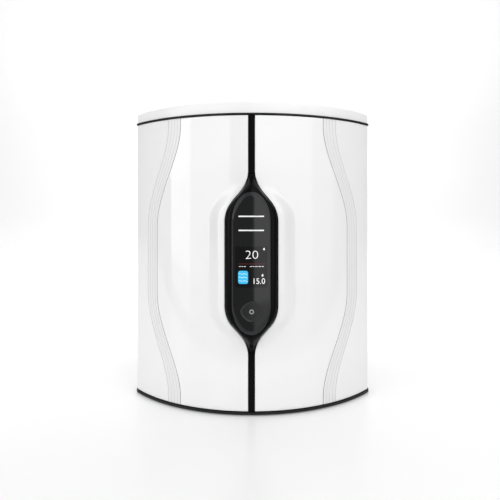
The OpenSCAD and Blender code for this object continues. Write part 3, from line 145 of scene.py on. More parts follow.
def lens_point(end, a, grow=0.0):
    """The lens's right edge at an angle round an arch: 0 at its shoulder and a right angle at its tip."""
    return (LENS_HW + grow) * math.cos(a), end * (shoulder_v(end) + (LENS_ARCH_H + grow) * math.sin(a))


def face_point(end, a, grow=0.0):
    """The right edge of the lens's face, inside the bevel: its arches are more pointed than the lens's."""
    across_power, up_power = 1.1, 4 / 3
    return ((FACE_HW + grow) * max(math.cos(a), 0.0) ** across_power,
            end * (shoulder_v(end) + (FACE_ARCH_H + grow) * math.sin(a) ** up_power))


def ribbon_s(v):
    """Where the ribbon's inner edge lies along the bow."""
    wave = 1 - smooth((abs(v) - RIBBON_WAVE_FROM) / (RIBBON_WAVE_TO - RIBBON_WAVE_FROM))
    return RIBBON_END_S + (RIBBON_MID_S - RIBBON_END_S) * wave


def edge_drop(d, r):
    """How far a rounded edge of radius r lies below the surface at distance d from the edge."""
    return r - math.sqrt(r * r - (r - d) ** 2) if d < r else 0.0


# Meshes

def new_object(name, data):
    """An object with this data, in the scene."""
    made = bpy.data.objects.new(name, data)
    bpy.context.scene.collection.objects.link(made)
    return made


def solid_mesh(name, points, faces, finishes=None):
    """A mesh from points in millimetres; its doubled points are joined and its faces turned outward."""
    mesh = bpy.data.meshes.new(name)
    mesh.from_pydata([[c * MM for c in p] for p in points], [], faces)
    if finishes:
        mesh.polygons.foreach_set("material_index", finishes)
    shaped = bmesh.new()
    shaped.from_mesh(mesh)
    bmesh.ops.remove_doubles(shaped, verts=shaped.verts, dist=MERGE * MM)
    bmesh.ops.recalc_face_normals(shaped, faces=shaped.faces)
    shaped.to_mesh(mesh)
    shaped.free()
    return mesh


def piece(name, body, points, faces, materials, finishes=None, sharp=SHARP, replaces=()):
    """A mesh that rides on a body of the frame; finishes gives the place of each face's material."""
    mesh = solid_mesh(name, points, faces, finishes)
    for material in materials:
        mesh.materials.append(material)
    mesh.polygons.foreach_set("use_smooth", [True] * len(mesh.polygons))
    mesh.set_sharp_from_angle(angle=math.radians(sharp))
    made = new_object(name, mesh)
    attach(made, body)
    if replaces:
        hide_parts(*replaces)
    return made


def grid_faces(rows, columns, start=0, loop=False):
    """Four-sided faces between neighbouring points of a grid; loop joins each row's ends."""
    span = columns if loop else columns - 1
    return [(start + i * columns + j, start + i * columns + (j + 1) % columns,
             start + (i + 1) * columns + (j + 1) % columns, start + (i + 1) * columns + j)
            for i in range(rows - 1) for j in range(span)]


def stack(rings, start=0):
    """Points and faces of a closed solid through rings that lie one behind the other."""
    n = len(rings[0])
    points = [p for ring in rings for p in ring]
    faces = grid_faces(len(rings), n, start, loop=True)
    last = start + (len(rings) - 1) * n
    return points, faces + [tuple(start + i for i in range(n)), tuple(last + i for i in range(n))]


def mirrored(points):
    return [(-x, y, z) for x, y, z in points]


# Doors

# Finishes of a door, in the order of its materials; the two groove finishes are painted shade in the ribbon's
# grooves
SHELL, BAND, GROOVE, FAINT_GROOVE = range(4)
# Half width, depth and finish of the ribbon's inner border line, and of each of its other lines
BORDER_LINE, FINE_LINE = (0.55, 0.8, GROOVE), (0.35, 0.5, FAINT_GROOVE)
# How much of a line's half width is its flat floor
FLOOR_SHARE = 0.6
# Roundings of a door's free edge and of its top and bottom, and the distances from them that have points
EDGE_ROUND, END_ROUND = 1.0, 0.8
EDGE_STEPS = [0, 0.06, 0.2, 0.45, 0.8, 1.2, 2.5, 4, 5.7]
END_STEPS = [0, 0.12, 0.35, END_ROUND]


def door_heights():
    """Heights from the pod's middle, close together at the flares and the rounded ends."""
    lower = [-DOOR_HALF + step for step in END_STEPS]
    lower += spread(-DOOR_HALF + 4, -FLARE_TO, 15)
    lower += spread(-FLARE_TO, -FLARE_FROM, 30)[1:]
    lower += spread(-FLARE_FROM, 0, 12)[1:-1]
    return lower + [0.0] + [-v for v in reversed(lower)]


def ribbon_profile():
    """Steps across the ribbon: distance from its inner edge, depth, and the finish of the face after each."""
    steps = []
    pitch = RIBBON_W / (RIBBON_LINES - 1)
    for line in range(RIBBON_LINES):
        half, floor, finish = FINE_LINE if line else BORDER_LINE
        before = RIBBON_DEPTH if line else 0.0
        after = 0.0 if line == RIBBON_LINES - 1 else RIBBON_DEPTH
        at, flat = line * pitch, FLOOR_SHARE * half
        steps += [(at - half, before, finish), (at - flat, floor, finish), (at + flat, floor, finish),
                  (at + half, after, BAND if after else SHELL)]
    return steps


RIBBON_PROFILE = ribbon_profile()


def door_row(v):
    """Outer and inner points of the right door at one height, and the finish of the face after each."""
    z = POD_Z + v
    end_drop = edge_drop(DOOR_HALF - abs(v), END_ROUND)
    rise, edge_x = swell(v), pod_half(v)
    row = []

    def bow_step(s, depth, finish):
        row.append((on_bow(s, BOW_R - max(depth, end_drop), z), on_bow(s, BOW_R - DOOR_WALL, z), finish))

    for e in EDGE_STEPS + spread(7, BLISTER_W, 16):
        shape = BOW_R + rise * (1 - smooth((e - BLISTER_FLAT) / (BLISTER_W - BLISTER_FLAT)))
        x = edge_x + e
        r = shape - max(edge_drop(e, EDGE_ROUND), end_drop)
        row.append(((x, bow_y(x, r), z), (x, bow_y(x, shape - DOOR_WALL), z), SHELL))
    blister_s = BOW_R * math.asin((edge_x + BLISTER_W) / BOW_R)
    inner_s = ribbon_s(v)
    first_s, last_s = inner_s + RIBBON_PROFILE[0][0], inner_s + RIBBON_PROFILE[-1][0]
    for s in spread(blister_s, first_s, 14)[1:-1]:
        bow_step(s, 0, SHELL)
    for across, depth, finish in RIBBON_PROFILE:
        bow_step(inner_s + across, depth, finish)
    for s in spread(last_s, CORNER_S, 12)[1:-1]:
        bow_step(s, 0, SHELL)
    for a in spread(CORNER_ANGLE, WRAP_ANGLE, 14):
        outer, inner = ((HINGE_X + r * math.cos(a), HINGE_Y + r * math.sin(a), z)
                        for r in (HINGE_R - end_drop, HINGE_R - DOOR_WALL))
        row.append((outer, inner, SHELL))
    return row


def make_door(side, materials):
    """A shell of even wall: its outer and inner faces, its two upright edges, and its top and bottom."""
    rows = [door_row(v) for v in door_heights()]
    m, n = len(rows), len(rows[0])
    points = [p[0] for row in rows for p in row] + [p[1] for row in rows for p in row]
    if side == "left":
        points = mirrored(points)
    far = m * n
    faces = grid_faces(m, n) + grid_faces(m, n, far)
    finishes = [rows[i][j][2] for i in range(m - 1) for j in range(n - 1)]
    for i in range(m - 1):
        for a in (i * n, i * n + n - 1):
            faces.append((a, a + n, far + a + n, far + a))
    for j in range(n - 1):
        for a in (j, (m - 1) * n + j):
            faces.append((a, a + 1, far + a + 1, far + a))
    finishes += [SHELL] * (len(faces) - len(finishes))
    piece(f"{side}_door_skin", f"{side}_door", points, faces, materials, finishes,
          replaces=[f"{side}_door_shell"])


# Cap

def plan(grow):
    """The closed cabinet's outline from above, grown by a margin."""
    def arc(cx, cy, r, a0, a1, count, open_end=False):
        return [(cx + r * math.cos(a), cy + r * math.sin(a))
                for a in spread(a0, a1, count)[:-1 if open_end else None]]
    pi, c = math.pi, CORNER_ANGLE
    return (arc(-HINGE_X, HINGE_Y, HINGE_R + grow, pi, pi - c, 8, True)
            + arc(0, BOW_Y, BOW_R + grow, pi - c, 2 * pi + c, 80, True)
            + arc(HINGE_X, HINGE_Y, HINGE_R + grow, c, 0, 8)
            + arc(HOUSE_HW - REAR_R, REAR_Y - REAR_R, REAR_R + grow, 0, pi / 2, 8)
            + arc(REAR_R - HOUSE_HW, REAR_Y - REAR_R, REAR_R + grow, pi / 2, pi, 8))


def make_cap(material):
    """A hollow lid: a rounded foot, a rounded upper edge, and a top that falls off towards its sides."""
    edge_r, crown, wall, foot_round, cove = 5.0, 2.5, 3.0, 0.8, 2.0
    # The top's rings, as shares of its outline's size
    shares = (0.96, 0.9, 0.8, 0.65, 0.5, 0.35, 0.2, 0.08)
    height = CAP_TOP - CAP_BOTTOM

    def dipped(x, y, z):
        return x, y, z - crown * (abs(x) / HOUSE_HW) ** 4 * (z - CAP_BOTTOM) / height

    under = CAP_TOP - crown - wall
    rings = [[(x, y, under) for x, y in plan(-wall - cove)], [(x, y, under - cove) for x, y in plan(-wall)],
             [(x, y, CAP_BOTTOM) for x, y in plan(-wall)]]
    for a in spread(0, RIGHT_ANGLE, 4):
        rings.append([(x, y, CAP_BOTTOM + foot_round * (1 - math.cos(a)))
                      for x, y in plan(-foot_round * (1 - math.sin(a)))])
    for a in spread(0, RIGHT_ANGLE, 12):
        rings.append([dipped(x, y, CAP_TOP - edge_r * (1 - math.sin(a)))
                      for x, y in plan(-edge_r * (1 - math.cos(a)))])
    middle_y = (REAR_Y + BOW_Y - BOW_R) / 2
    for k in shares:
        rings.append([dipped(k * x, middle_y + k * (y - middle_y), CAP_TOP) for x, y in plan(-edge_r)])
    points, faces = stack(rings)
    piece("cap_skin", "cabinet", points, faces, [material], replaces=["top_cap"])


# Pod

def make_bezel(material, gap_shade):
    """Falls steeply to the doors at the lens's sides, and runs out into the strip at its two ends."""
    flange_gap, skirt, ledge_w, ledge_t, rim_drop = 3.0, 2.5, 2.5, 2.0, 1.4
    lip, soft = 0.25, 0.07
    foot_r = BOW_R - DOOR_WALL - flange_gap + SEAT_GAP
    seat_r, rim_r = FACE_R - LENS_T - SEAT_GAP, FACE_R - rim_drop
    last_turn = math.radians(88)
    # The steep side turns into the long slope at the ends from this angle on, over this many degrees
    slope_from, slope_over = 55, 30

    def section(end, a, side):
        v_out = end * (shoulder_v(end) + (POD_END_V - shoulder_v(end)) * a / last_turn)
        out = Vector((pod_half(v_out, -EDGE_GAP), v_out))
        rim, ledge = Vector(lens_point(end, a, SEAT_GAP)), Vector(lens_point(end, a, -ledge_w))
        edge_r = BOW_R - EDGE_GAP + swell(v_out)
        inward = (rim - out).normalized()
        in_wall = out + skirt * inward
        ramp = smooth((math.degrees(a) - slope_from) / slope_over)
        walk = [(out, foot_r)]
        for turn in spread(0, RIGHT_ANGLE, 14):
            k = 1 - math.cos(turn)
            lift = (1 - ramp) * math.sin(turn) + ramp * smooth(k)
            walk.append((out + k * (rim - out - lip * inward), edge_r + (rim_r - edge_r) * lift))
        walk += [(rim - soft * inward, rim_r - soft), (rim, rim_r - lip), (rim, seat_r), (ledge, seat_r),
                 (ledge, seat_r - ledge_t), (in_wall, edge_r - skirt), (in_wall, foot_r)]
        return [(side * p[0], bow_y(p[0], r), POD_Z + p[1]) for p, r in walk]

    turns = spread(0, last_turn, 56)
    loop = [(-1, a, 1) for a in reversed(turns)] + [(1, a, 1) for a in turns]
    loop += [(end, a, -side) for end, a, side in reversed(loop)]
    rings = [section(*at) for at in loop]
    n = len(rings[0])
    points = [p for ring in rings + rings[:1] for p in ring]
    faces = grid_faces(len(rings) + 1, n, loop=True)
    # The first four faces of each section fill the joint to the doors and carry its painted shade
    finishes = [1 if i % n < 4 else 0 for i in range(len(faces))]
    piece("pod_bezel_skin", "cabinet", points, faces, [material, gap_shade], finishes, sharp=40,
          replaces=["pod_bezel"])


def half_turns(count=44):
    """The stations up the lens's right edge, from its lower tip to its upper one."""
    arches = spread(RIGHT_ANGLE, 0, count)
    return [(-1, a) for a in arches] + [(1, a) for a in reversed(arches)]


def outline_ring(edge_at, r, grow=0.0):
    """An outline at a radius about the bow's centre: its right side, which edge_at gives, then its left."""
    right = [(max(x, 0.0), bow_y(x, r), POD_Z + v) for x, v in (edge_at(*at, grow) for at in half_turns())]
    return right + mirrored(reversed(right[1:-1]))


def bridge(ring, columns, r, points, faces):
    """Fills an outline that is the same on both sides with rows across it, bent to a radius."""
    half = len(ring) // 2 + 1
    start = len(points)
    for x, _, z in ring[:half]:
        points += [(x * u, bow_y(x * u, r), z) for u in spread(1, -1, columns)]
    faces += grid_faces(half, columns + 1, start)


def cutter(outline):
    """A straight prism along Y from an outline of (x, z) points, from before the lens to behind it."""
    before_y, behind_y = -200, -140
    points, faces = stack([[(x, y, z) for x, z in outline] for y in (before_y, behind_y)])
    return new_object("cutter", solid_mesh("cutter", points, faces))


def cut(target, cutters):
    """Cuts holes through a piece, then deletes the cutters."""
    for tool in cutters:
        modifier = target.modifiers.new("hole", "BOOLEAN")
        modifier.operation = "DIFFERENCE"
        modifier.solver = "EXACT"
        modifier.object = tool
    bpy.context.view_layer.update()
    with_holes = bpy.data.meshes.new_from_object(target.evaluated_get(bpy.context.evaluated_depsgraph_get()))
    target.modifiers.clear()
    target.data = with_holes
    target.data.set_sharp_from_angle(angle=math.radians(SHARP))
    for tool in cutters:
        bpy.data.objects.remove(tool)


def diamond(w, h, count=96):
    """The button's outline, a diamond with round corners and full sides."""
    outline = []
    for i in range(count):
        c, s = math.cos(2 * math.pi * i / count), math.sin(2 * math.pi * i / count)
        outline.append((w / 2 * math.copysign(abs(c) ** BUTTON_BEND, c),
                        POD_Z + BUTTON_V + h / 2 * math.copysign(abs(s) ** BUTTON_BEND, s)))
    return outline


def pill(w, h, z, grow=0.0, count=10):
    """The outline of a bar with rounded ends."""
    r = h / 2 + grow
    right = [(w / 2 - h / 2 + r * math.cos(a), z + r * math.sin(a))
             for a in spread(-RIGHT_ANGLE, RIGHT_ANGLE, count)]
    return right + [(-x, 2 * z - zz) for x, zz in right]


def make_lens(face_finish, highlight_finish):
    """A plate bent round the bow's centre: a bevelled edge, a face, and holes for the bars and the button."""
    back_r, edge_r = FACE_R - LENS_T, FACE_R - BEVEL_DROP
    # Rounding of the outer edge, as distances in from it and below it
    edge_steps = ((0, 0.5), (0.03, 0.2), (0.12, 0.06), (0.3, 0))
    # Shares of the way across the bevel and of the way up it, which ends just short of the face
    bevel_steps = ((0.08, 0.08), (0.3, 0.3), (0.6, 0.6), (0.92, 0.92), (1, 0.994))
    face_inset, button_gap, bar_gap = 0.35, 0.3, 0.1
    levels = [outline_ring(lens_point, back_r)]
    levels += [outline_ring(lens_point, edge_r - below, -inset) for inset, below in edge_steps]
    outer, inner = levels[-1], outline_ring(face_point, FACE_R)
    for across, up in bevel_steps:
        ring = []
        for (x0, _, z0), (x1, _, z1) in zip(outer, inner):
            x = x0 + across * (x1 - x0)
            ring.append((x, bow_y(x, edge_r + BEVEL_DROP * up), z0 + across * (z1 - z0)))
        levels.append(ring)
    levels.append(outline_ring(face_point, FACE_R, -face_inset))
    n = len(outer)
    points = [p for ring in levels for p in ring]
    faces = grid_faces(len(levels), n, loop=True)
    # The bevel's faces take the second finish, a painted highlight along the lens's edge
    bevel_from, bevel_to = len(edge_steps), len(edge_steps) + len(bevel_steps) - 1
    finishes = [1 if bevel_from <= i // n < bevel_to else 0 for i in range(len(faces))]
    bridge(levels[-1], 60, FACE_R, points, faces)
    bridge(levels[0], 30, back_r, points, faces)
    finishes += [0] * (len(faces) - len(finishes))
    lens = piece("pod_lens_skin", "cabinet", points, faces, [face_finish, highlight_finish], finishes,
                 replaces=["pod_lens"])
    cut(lens, [cutter(diamond(BUTTON_W + 2 * button_gap, BUTTON_H + 2 * button_gap))]
        + [cutter(pill(BAR_W, BAR_H, POD_Z + v, bar_gap)) for v in BARS_V])


def make_light_bars(material):
    """Two diffusing bars with rounded ends and a softened front edge, flush with the lens's face."""
    board_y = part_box("light_bars")[1][1] / MM
    edge_steps = ((0, 0.35), (0.05, 0.15), (0.15, 0.04), (0.3, 0))
    points, faces = [], []
    for v in BARS_V:
        z = POD_Z + v
        rings = [[(x, board_y, zz) for x, zz in pill(BAR_W, BAR_H, z)]]
        for inset, below in edge_steps:
            rings.append([(x, bow_y(x, FACE_R - below), zz) for x, zz in pill(BAR_W, BAR_H, z, -inset)])
        bar_points, bar_faces = stack(rings, len(points))
        points += bar_points
        faces += bar_faces
    piece("light_bar_diffusers", "cabinet", points, faces, [material], replaces=["light_bars"])


def make_button(body_finish, highlight_finish, mark_finish):
    """A push button: a dished face inside a fine raised edge, a skirt behind the lens, and its stem."""
    sunk, dish, skirt_w, skirt_gap, back_inset = 0.05, 0.42, 1.5, 0.4, 20
    stem_half, stem_root, stem_taper, stem_tip = 2.7, 0.5, 0.4, 0.85
    # How much narrower each ring is than the button, and how far below its top: a rounded side, the raised
    # edge, and the slope down into the dish
    edge_steps = ((0, 0.45), (0.1, 0.2), (0.35, 0.05), (0.7, 0), (1.7, 0), (2.1, 0.08), (2.7, 0.3),
                  (3.6, dish))
    dish_steps = (6, 10, 15, 20, 25)
    # The rows of faces that make the raised edge, which carry a painted highlight
    raised = range(6, 9)
    top, button_z = FACE_R - sunk, POD_Z + BUTTON_V
    back_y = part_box("control_button")[1][1] / MM
    skirt_y = bow_y(BUTTON_W / 2 + skirt_w, FACE_R - LENS_T) + skirt_gap
    skirt_back_y = skirt_y + BUTTON_T

    def curved(narrower, below):
        outline = diamond(BUTTON_W - narrower, BUTTON_H - narrower)
        return [(x, bow_y(x, top - below), z) for x, z in outline]

    def flat(wider, y):
        return [(x, y, z) for x, z in diamond(BUTTON_W + wider, BUTTON_H + wider)]

    rings = [flat(-back_inset, skirt_back_y), flat(2 * skirt_w, skirt_back_y), flat(2 * skirt_w, skirt_y),
             flat(0, skirt_y)]
    rings += [curved(narrower, below) for narrower, below in edge_steps]
    rings += [curved(narrower, dish) for narrower in dish_steps]
    points, faces = stack(rings)
    n = len(rings[0])
    finishes = [1 if i // n in raised else 0 for i in range(len(faces))]
    stem = []
    for y, share in ((skirt_back_y - stem_root, 1), (back_y - stem_taper, 1), (back_y, stem_tip)):
        half = share * stem_half
        stem.append([(sx * half, y, button_z + sz * half) for sx, sz in ((-1, -1), (1, -1), (1, 1), (-1, 1))])
    stem_points, stem_faces = stack(stem, len(points))
    points, faces = points + stem_points, faces + stem_faces
    finishes += [0] * (len(faces) - len(finishes))
    piece("push_button_skin", "push_button", points, faces, [body_finish, highlight_finish], finishes,
          replaces=["control_button"])

    # The ring mark's section: radius, and height above the dish
    mark_x, count = 0.5, 40
    section = ((2.05, -0.1), (2.05, 0.08), (2.15, 0.12), (2.95, 0.12), (3.05, 0.08), (3.05, -0.1))
    rings = []
    for radius, proud in section:
        circle = [(mark_x + radius * math.cos(a), button_z + radius * math.sin(a))
                  for a in spread(0, 2 * math.pi, count)[:-1]]
        rings.append([(x, bow_y(x, top - dish + proud), z) for x, z in circle])
    points = [p for ring in rings + rings[:1] for p in ring]
    mark = piece("push_button_ring_mark", "push_button", points, grid_faces(len(rings) + 1, count, loop=True),
                 [mark_finish])


# Display

# Heights of a print's back and of its front from the face that it is laid on
UNDER, PROUD = -0.1, 0.12


def on_face(x, z, proud):
    """The point of the lens's face at x and z, raised a little."""
    return x, bow_y(x, FACE_R + proud), z


def decals(name, outlines, material, proud=PROUD):
    """Flat shapes, each a closed outline of (x, z) points, raised on the lens's face as one piece."""
    points, faces = [], []
    for outline in outlines:
        more_points, more_faces = stack([[on_face(x, z, p) for x, z in outline] for p in (UNDER, proud)],
                                        len(points))
        points += more_points
        faces += more_faces
    piece(name, "cabinet", points, faces, [material])


def patch(name, body, place, box, material, proud=PROUD, count=30):
    """A thin plate over a box (x0, x1, z0, z1) of a curved face, whose points place(x, z, height) gives."""
    x0, x1, z0, z1 = box
    outline = [(x, z0) for x in spread(x0, x1, count)] + [(x, z1) for x in spread(x1, x0, count)]
    n, half = len(outline), len(outline) // 2
    points = [place(x, z, p) for p in (UNDER, proud) for x, z in outline]
    faces = grid_faces(2, n, loop=True)
    for start in (0, n):
        faces += [(start + i, start + i + 1, start + n - 2 - i, start + n - 1 - i) for i in range(half - 1)]
    piece(name, body, points, faces, [material])


def digits(name, body, place, text, box, material):
    """Plain digits as a raised mesh that fills a box (x0, x1, z0, z1) of a curved face."""
    x0, x1, z0, z1 = box
    # Large digits have thinner strokes, for their height, than small ones
    large, large_offset, small_offset = 10, -0.022, -0.006
    data = bpy.data.curves.new(name, "FONT")
    data.body, data.resolution_u = text, 5
    data.offset = large_offset if z1 - z0 > large else small_offset
    # Any depth does, because the points get their height above the face below
    data.extrude = 0.1
    source = new_object(name + "_source", data)
    bpy.context.view_layer.update()
    mesh = bpy.data.meshes.new_from_object(source.evaluated_get(bpy.context.evaluated_depsgraph_get()))
    bpy.data.objects.remove(source)
    us, vs = [v.co.x for v in mesh.vertices], [v.co.y for v in mesh.vertices]
    points = []
    for v in mesh.vertices:
        x = x0 + (x1 - x0) * (v.co.x - min(us)) / (max(us) - min(us))
        z = z0 + (z1 - z0) * (v.co.y - min(vs)) / (max(vs) - min(vs))
        points.append(place(x, z, PROUD if v.co.z > 0 else UNDER))
    faces = [tuple(face.vertices) for face in mesh.polygons]
    piece(name, body, points, faces, [material])


def bar(x0, x1, z, h):
    """A small bar with rounded ends."""
    middle = (x0 + x1) / 2
    return [(middle + x, zz) for x, zz in pill(x1 - x0, h, z, count=5)]


def drop(x, z, h):
    """A water drop with its point up."""
    r = 0.33 * h
    turns = spread(-math.radians(215), math.radians(35), 20)
    return [(x + r * math.cos(a), z + r + r * math.sin(a)) for a in turns] + [(x, z + h)]


def rounded_box(x, z, half_w, half_h):
    """A box with well-rounded corners, all round."""
    corner = 0.35
    return [(x + half_w * math.copysign(abs(math.cos(a)) ** corner, math.cos(a)),
             z + half_h * math.copysign(abs(math.sin(a)) ** corner, math.sin(a)))
            for a in spread(0, 2 * math.pi, 48)[:-1]]


def wave(x0, x1, z, count=24):
    """A thin wavy line."""
    height, length, thickness, crest_x = 0.55, 6.0, 0.4, -17
    upper = [(x, z + height * math.sin((x - crest_x) * 2 * math.pi / length)) for x in spread(x0, x1, count)]
    return upper + [(x, zz - thickness) for x, zz in reversed(upper)]


def make_display(glass, lit, blue, red):
    """The colour display behind the lens: its window, digits, a tank symbol and rows of small marks."""
    # Heights here are measured from the window's middle
    z, half_w, half_h = POD_Z + DISPLAY_V, DISPLAY_W / 2, DISPLAY_H / 2
    upper_box = (-7.8, 9.4, z + 11.25, z + 22.45)
    lower_box = (3.4, 18.9, z - 23.15, z - 15.45)
    # Left end and width of each small bar in the row under the upper digits
    small_bars = ((-16.9, 2.6), (-13.6, 2.2), (-10.7, 3.4), (-2, 3.2), (1.9, 2.6), (5.2, 3.6), (9.5, 4.2),
                  (14.5, 3))
    bars_z, bar_h = z + 0.75, 0.6
    dots_x, dots_z, dot_w, dot_h = spread(-17, 19, 20), z + 4.35, 0.9, 0.8
    # Place and height of each water drop
    drops = ((17.6, z + 23.15, 3.6), (15.5, z - 13.05, 3.8))
    tank_x, tank_z, tank_half_w, tank_half_h = -11.2, z - 14.1, 6.9, 9.0
    waves_x, waves_z = (-17, -5.4), (z - 18.85, z - 14.05, z - 9.25)
    # The window lies lower than what is drawn on it, and the waves lie over the tank
    window_proud, tank_proud, waves_proud = 0.05, 0.25, 0.35

    patch("display_window", "cabinet", on_face, (-half_w, half_w, z - half_h, z + half_h), glass,
          window_proud)
    digits("display_digits_upper", "cabinet", on_face, "20", upper_box, lit)
    digits("display_digits_lower", "cabinet", on_face, "15.0", lower_box, lit)
    marks = [bar(x, x + w, bars_z, bar_h) for x, w in small_bars]
    marks += [drop(*one) for one in drops]
    decals("display_marks", marks, lit)
    dots = [bar(x - dot_w / 2, x + dot_w / 2, dots_z, dot_h) for x in dots_x]
    decals("display_dots", dots, red)
    decals("display_tank", [rounded_box(tank_x, tank_z, tank_half_w, tank_half_h)], blue,
           tank_proud)
    decals("display_waves", [wave(*waves_x, wave_z) for wave_z in waves_z], lit, waves_proud)


# Cartridge labels

def make_label(number, paper, ink):
    """A paper label on the front of a cartridge's bottle, with a coloured stripe and its number."""
    body = f"cartridge_{number}"
    low, high = ([c / MM for c in corner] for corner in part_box(f"{body}_bottle"))
    r, middle_x, middle_y = (high[0] - low[0]) / 2, (low[0] + high[0]) / 2, (low[1] + high[1]) / 2
    # Boxes as distances round the bottle from its front, and heights
    label_box, stripe_box, number_box = (-34, 34, 150, 232), (-34, 34, 222, 230), (-6, 6, 178, 204)
    stripe_proud, count = 0.18, 40

    def on_bottle(x, z, proud):
        return (middle_x + (r + proud) * math.sin(x / r), middle_y - (r + proud) * math.cos(x / r), z)

    patch(f"{body}_label", body, on_bottle, label_box, paper, count=count)
    patch(f"{body}_label_stripe", body, on_bottle, stripe_box, ink, stripe_proud, count)
    digits(f"{body}_label_number", body, on_bottle, str(number), number_box, ink)


# Materials

def linear(code):
    """An sRGB colour such as #f2f2f0 as linear red, green, blue and alpha."""
    parts = [int(code[i:i + 2], 16) / 255 for i in (1, 3, 5)]
    return [c / 12.92 if c <= 0.04045 else ((c + 0.055) / 1.055) ** 2.4 for c in parts] + [1.0]


def add(material, kind, links=None, **settings):
    """Adds a node to a material, with its settings and its links."""
    made = material.node_tree.nodes.new(kind)
    for key, value in settings.items():
        if key in made.inputs:
            made.inputs[key].default_value = value
        elif hasattr(made, key):
            setattr(made, key, value)
        else:
            made.inputs[key.replace("_", " ")].default_value = value
    for key, source in (links or {}).items():
        material.node_tree.links.new(source, made.inputs[key])
    return made


# The colour sockets of a mix node
COLOUR_A, COLOUR_B, MIXED_COLOUR = 6, 7, 2


def surface(name, colour, roughness, ior=1.5, metallic=0.0, coat=0.0, shade=None, shade_mm=60.0,
            grain=0.0, grain_mm=1.0, stretch=(1, 1, 1), emission=None, alpha=1.0, specular=0.5):
    """A finish: a colour that may drift a little to another shade, and a fine surface grain."""
    material = bpy.data.materials.new(name)
    material.use_nodes = True
    material.node_tree.nodes.clear()
    shader = add(material, "ShaderNodeBsdfPrincipled", Base_Color=linear(colour), Roughness=roughness,
                 IOR=ior, Metallic=metallic, Coat_Weight=coat, Coat_Roughness=0.05, Alpha=alpha,
                 Specular_IOR_Level=specular)
    if emission:
        glow, strength = emission
        shader.inputs["Emission Color"].default_value = linear(glow)
        shader.inputs["Emission Strength"].default_value = strength
    place = add(material, "ShaderNodeTexCoord")
    if shade:
        cloud = add(material, "ShaderNodeTexNoise", {"Vector": place.outputs["Object"]},
                    Scale=1 / (shade_mm * MM), Detail=3.0, Roughness=0.5)
        mix = add(material, "ShaderNodeMix", {"Factor": cloud.outputs["Fac"]}, data_type="RGBA")
        mix.inputs[COLOUR_A].default_value = linear(colour)
        mix.inputs[COLOUR_B].default_value = linear(shade)
        material.node_tree.links.new(mix.outputs[MIXED_COLOUR], shader.inputs["Base Color"])
    if grain:
        scaled = add(material, "ShaderNodeMapping", {"Vector": place.outputs["Object"]}, Scale=stretch)
        noise = add(material, "ShaderNodeTexNoise", {"Vector": scaled.outputs["Vector"]},
                    Scale=1 / (grain_mm * MM), Detail=2.0, Roughness=0.5)
        bump = add(material, "ShaderNodeBump", {"Height": noise.outputs["Fac"]},
                   Strength=1.0, Distance=grain * MM)
        material.node_tree.links.new(bump.outputs["Normal"], shader.inputs["Normal"])
    out = add(material, "ShaderNodeOutputMaterial")
    material.node_tree.links.new(shader.outputs["BSDF"], out.inputs["Surface"])
    return material


# Injection-moulded ABS in gloss white: mirror-like, with a faint orange peel of a few millimetres
gloss_abs = surface("gloss_white_abs", "#f0f0f0", 0.06, coat=0.25, shade="#ededed", grain=0.002, grain_mm=6)
# The same ABS from a finely etched mould: the ribbon band looks softer and a little greyer
satin_abs = surface("satin_white_abs", "#e9e9e9", 0.42, shade="#e5e5e5", grain=0.004, grain_mm=0.8)
# Painted shade in the groove of the ribbon's inner border: a grey that draws the ribbon's one clear line
groove_shade_abs = surface("groove_painted_shade", "#8c8e90", 0.6, shade="#848688", grain=0.004, grain_mm=0.8)
# Paler painted shade in the grooves of its other lines: they only just show
faint_groove_shade_abs = surface("faint_groove_painted_shade", "#d3d4d4", 0.6, shade="#cdcece", grain=0.004, grain_mm=0.8)
# ABS from a lightly etched mould: the cap's highlights are wide and soft
cap_abs = surface("satin_white_cap_abs", "#f1f1f1", 0.3, shade="#ededed", grain=0.005, grain_mm=0.9)
# Polyester powder coat on steel sheet: a fine, even orange peel
powder_white = surface("powder_coated_white_steel", "#eceded", 0.42, shade="#e7e8e8",
                       grain=0.012, grain_mm=1.4)
# The same coat in grey, a shade darker
powder_grey = surface("powder_coated_grey_steel", "#cfd2d5", 0.45, shade="#c9ccd0", grain=0.012, grain_mm=1.4)
# Black ABS with a mould texture: matt, slightly worn lighter
black_abs = surface("textured_black_abs", "#0d0d0f", 0.5, shade="#101012", grain=0.02, grain_mm=0.7,
                    specular=0.3)
# Black ABS from a polished mould: deep black with only a faint sheen
bezel_black = surface("gloss_black_abs", "#070708", 0.2, shade="#09090a", grain=0.002, grain_mm=3,
                      specular=0.07)
# Painted shade in the joint to the doors: a matt black that hardly reflects and draws the gap's dark line
gap_shade_black = surface("bezel_gap_painted_shade", "#040404", 0.9, shade="#060606", grain=0.01, grain_mm=0.8,
                     specular=0.02)
# Hard-coated acrylic over black print: a dark mirror with a hard, clear top
lens_black = surface("black_backed_acrylic", "#0e0f10", 0.08, ior=1.49, shade="#161718",
                     grain=0.001, grain_mm=12)
# The same acrylic on the bevel in a lighter grey: a painted highlight along the lens's edge
bevel_painted_highlight = surface("lens_bevel_painted_highlight", "#252628", 0.25, ior=1.49, shade="#28292b",
                      grain=0.001, grain_mm=12, specular=0.28)
# Black ABS with a fine mould texture: a softer black than the lens round it
button_black = surface("button_black_abs", "#0f1011", 0.3, shade="#161718", grain=0.003, grain_mm=0.8)
# The button's raised edge, polished and in a lighter grey: a painted highlight that draws a thin bright line
button_edge_highlight = surface("button_edge_painted_highlight", "#2c2d2f", 0.22, shade="#2f3032", grain=0.001, grain_mm=3)
# Opal acrylic lit from behind: an even white with no hot spot
light_white = surface("diffusing_white_acrylic", "#d8d9da", 0.3, shade="#d4d5d6", emission=("#ffffff", 0.35))
# Pad-printed ink: matt and a little grey
mark_white = surface("white_pad_print", "#b8b8b8", 0.5, shade="#b2b2b2", grain=0.002, grain_mm=0.5)
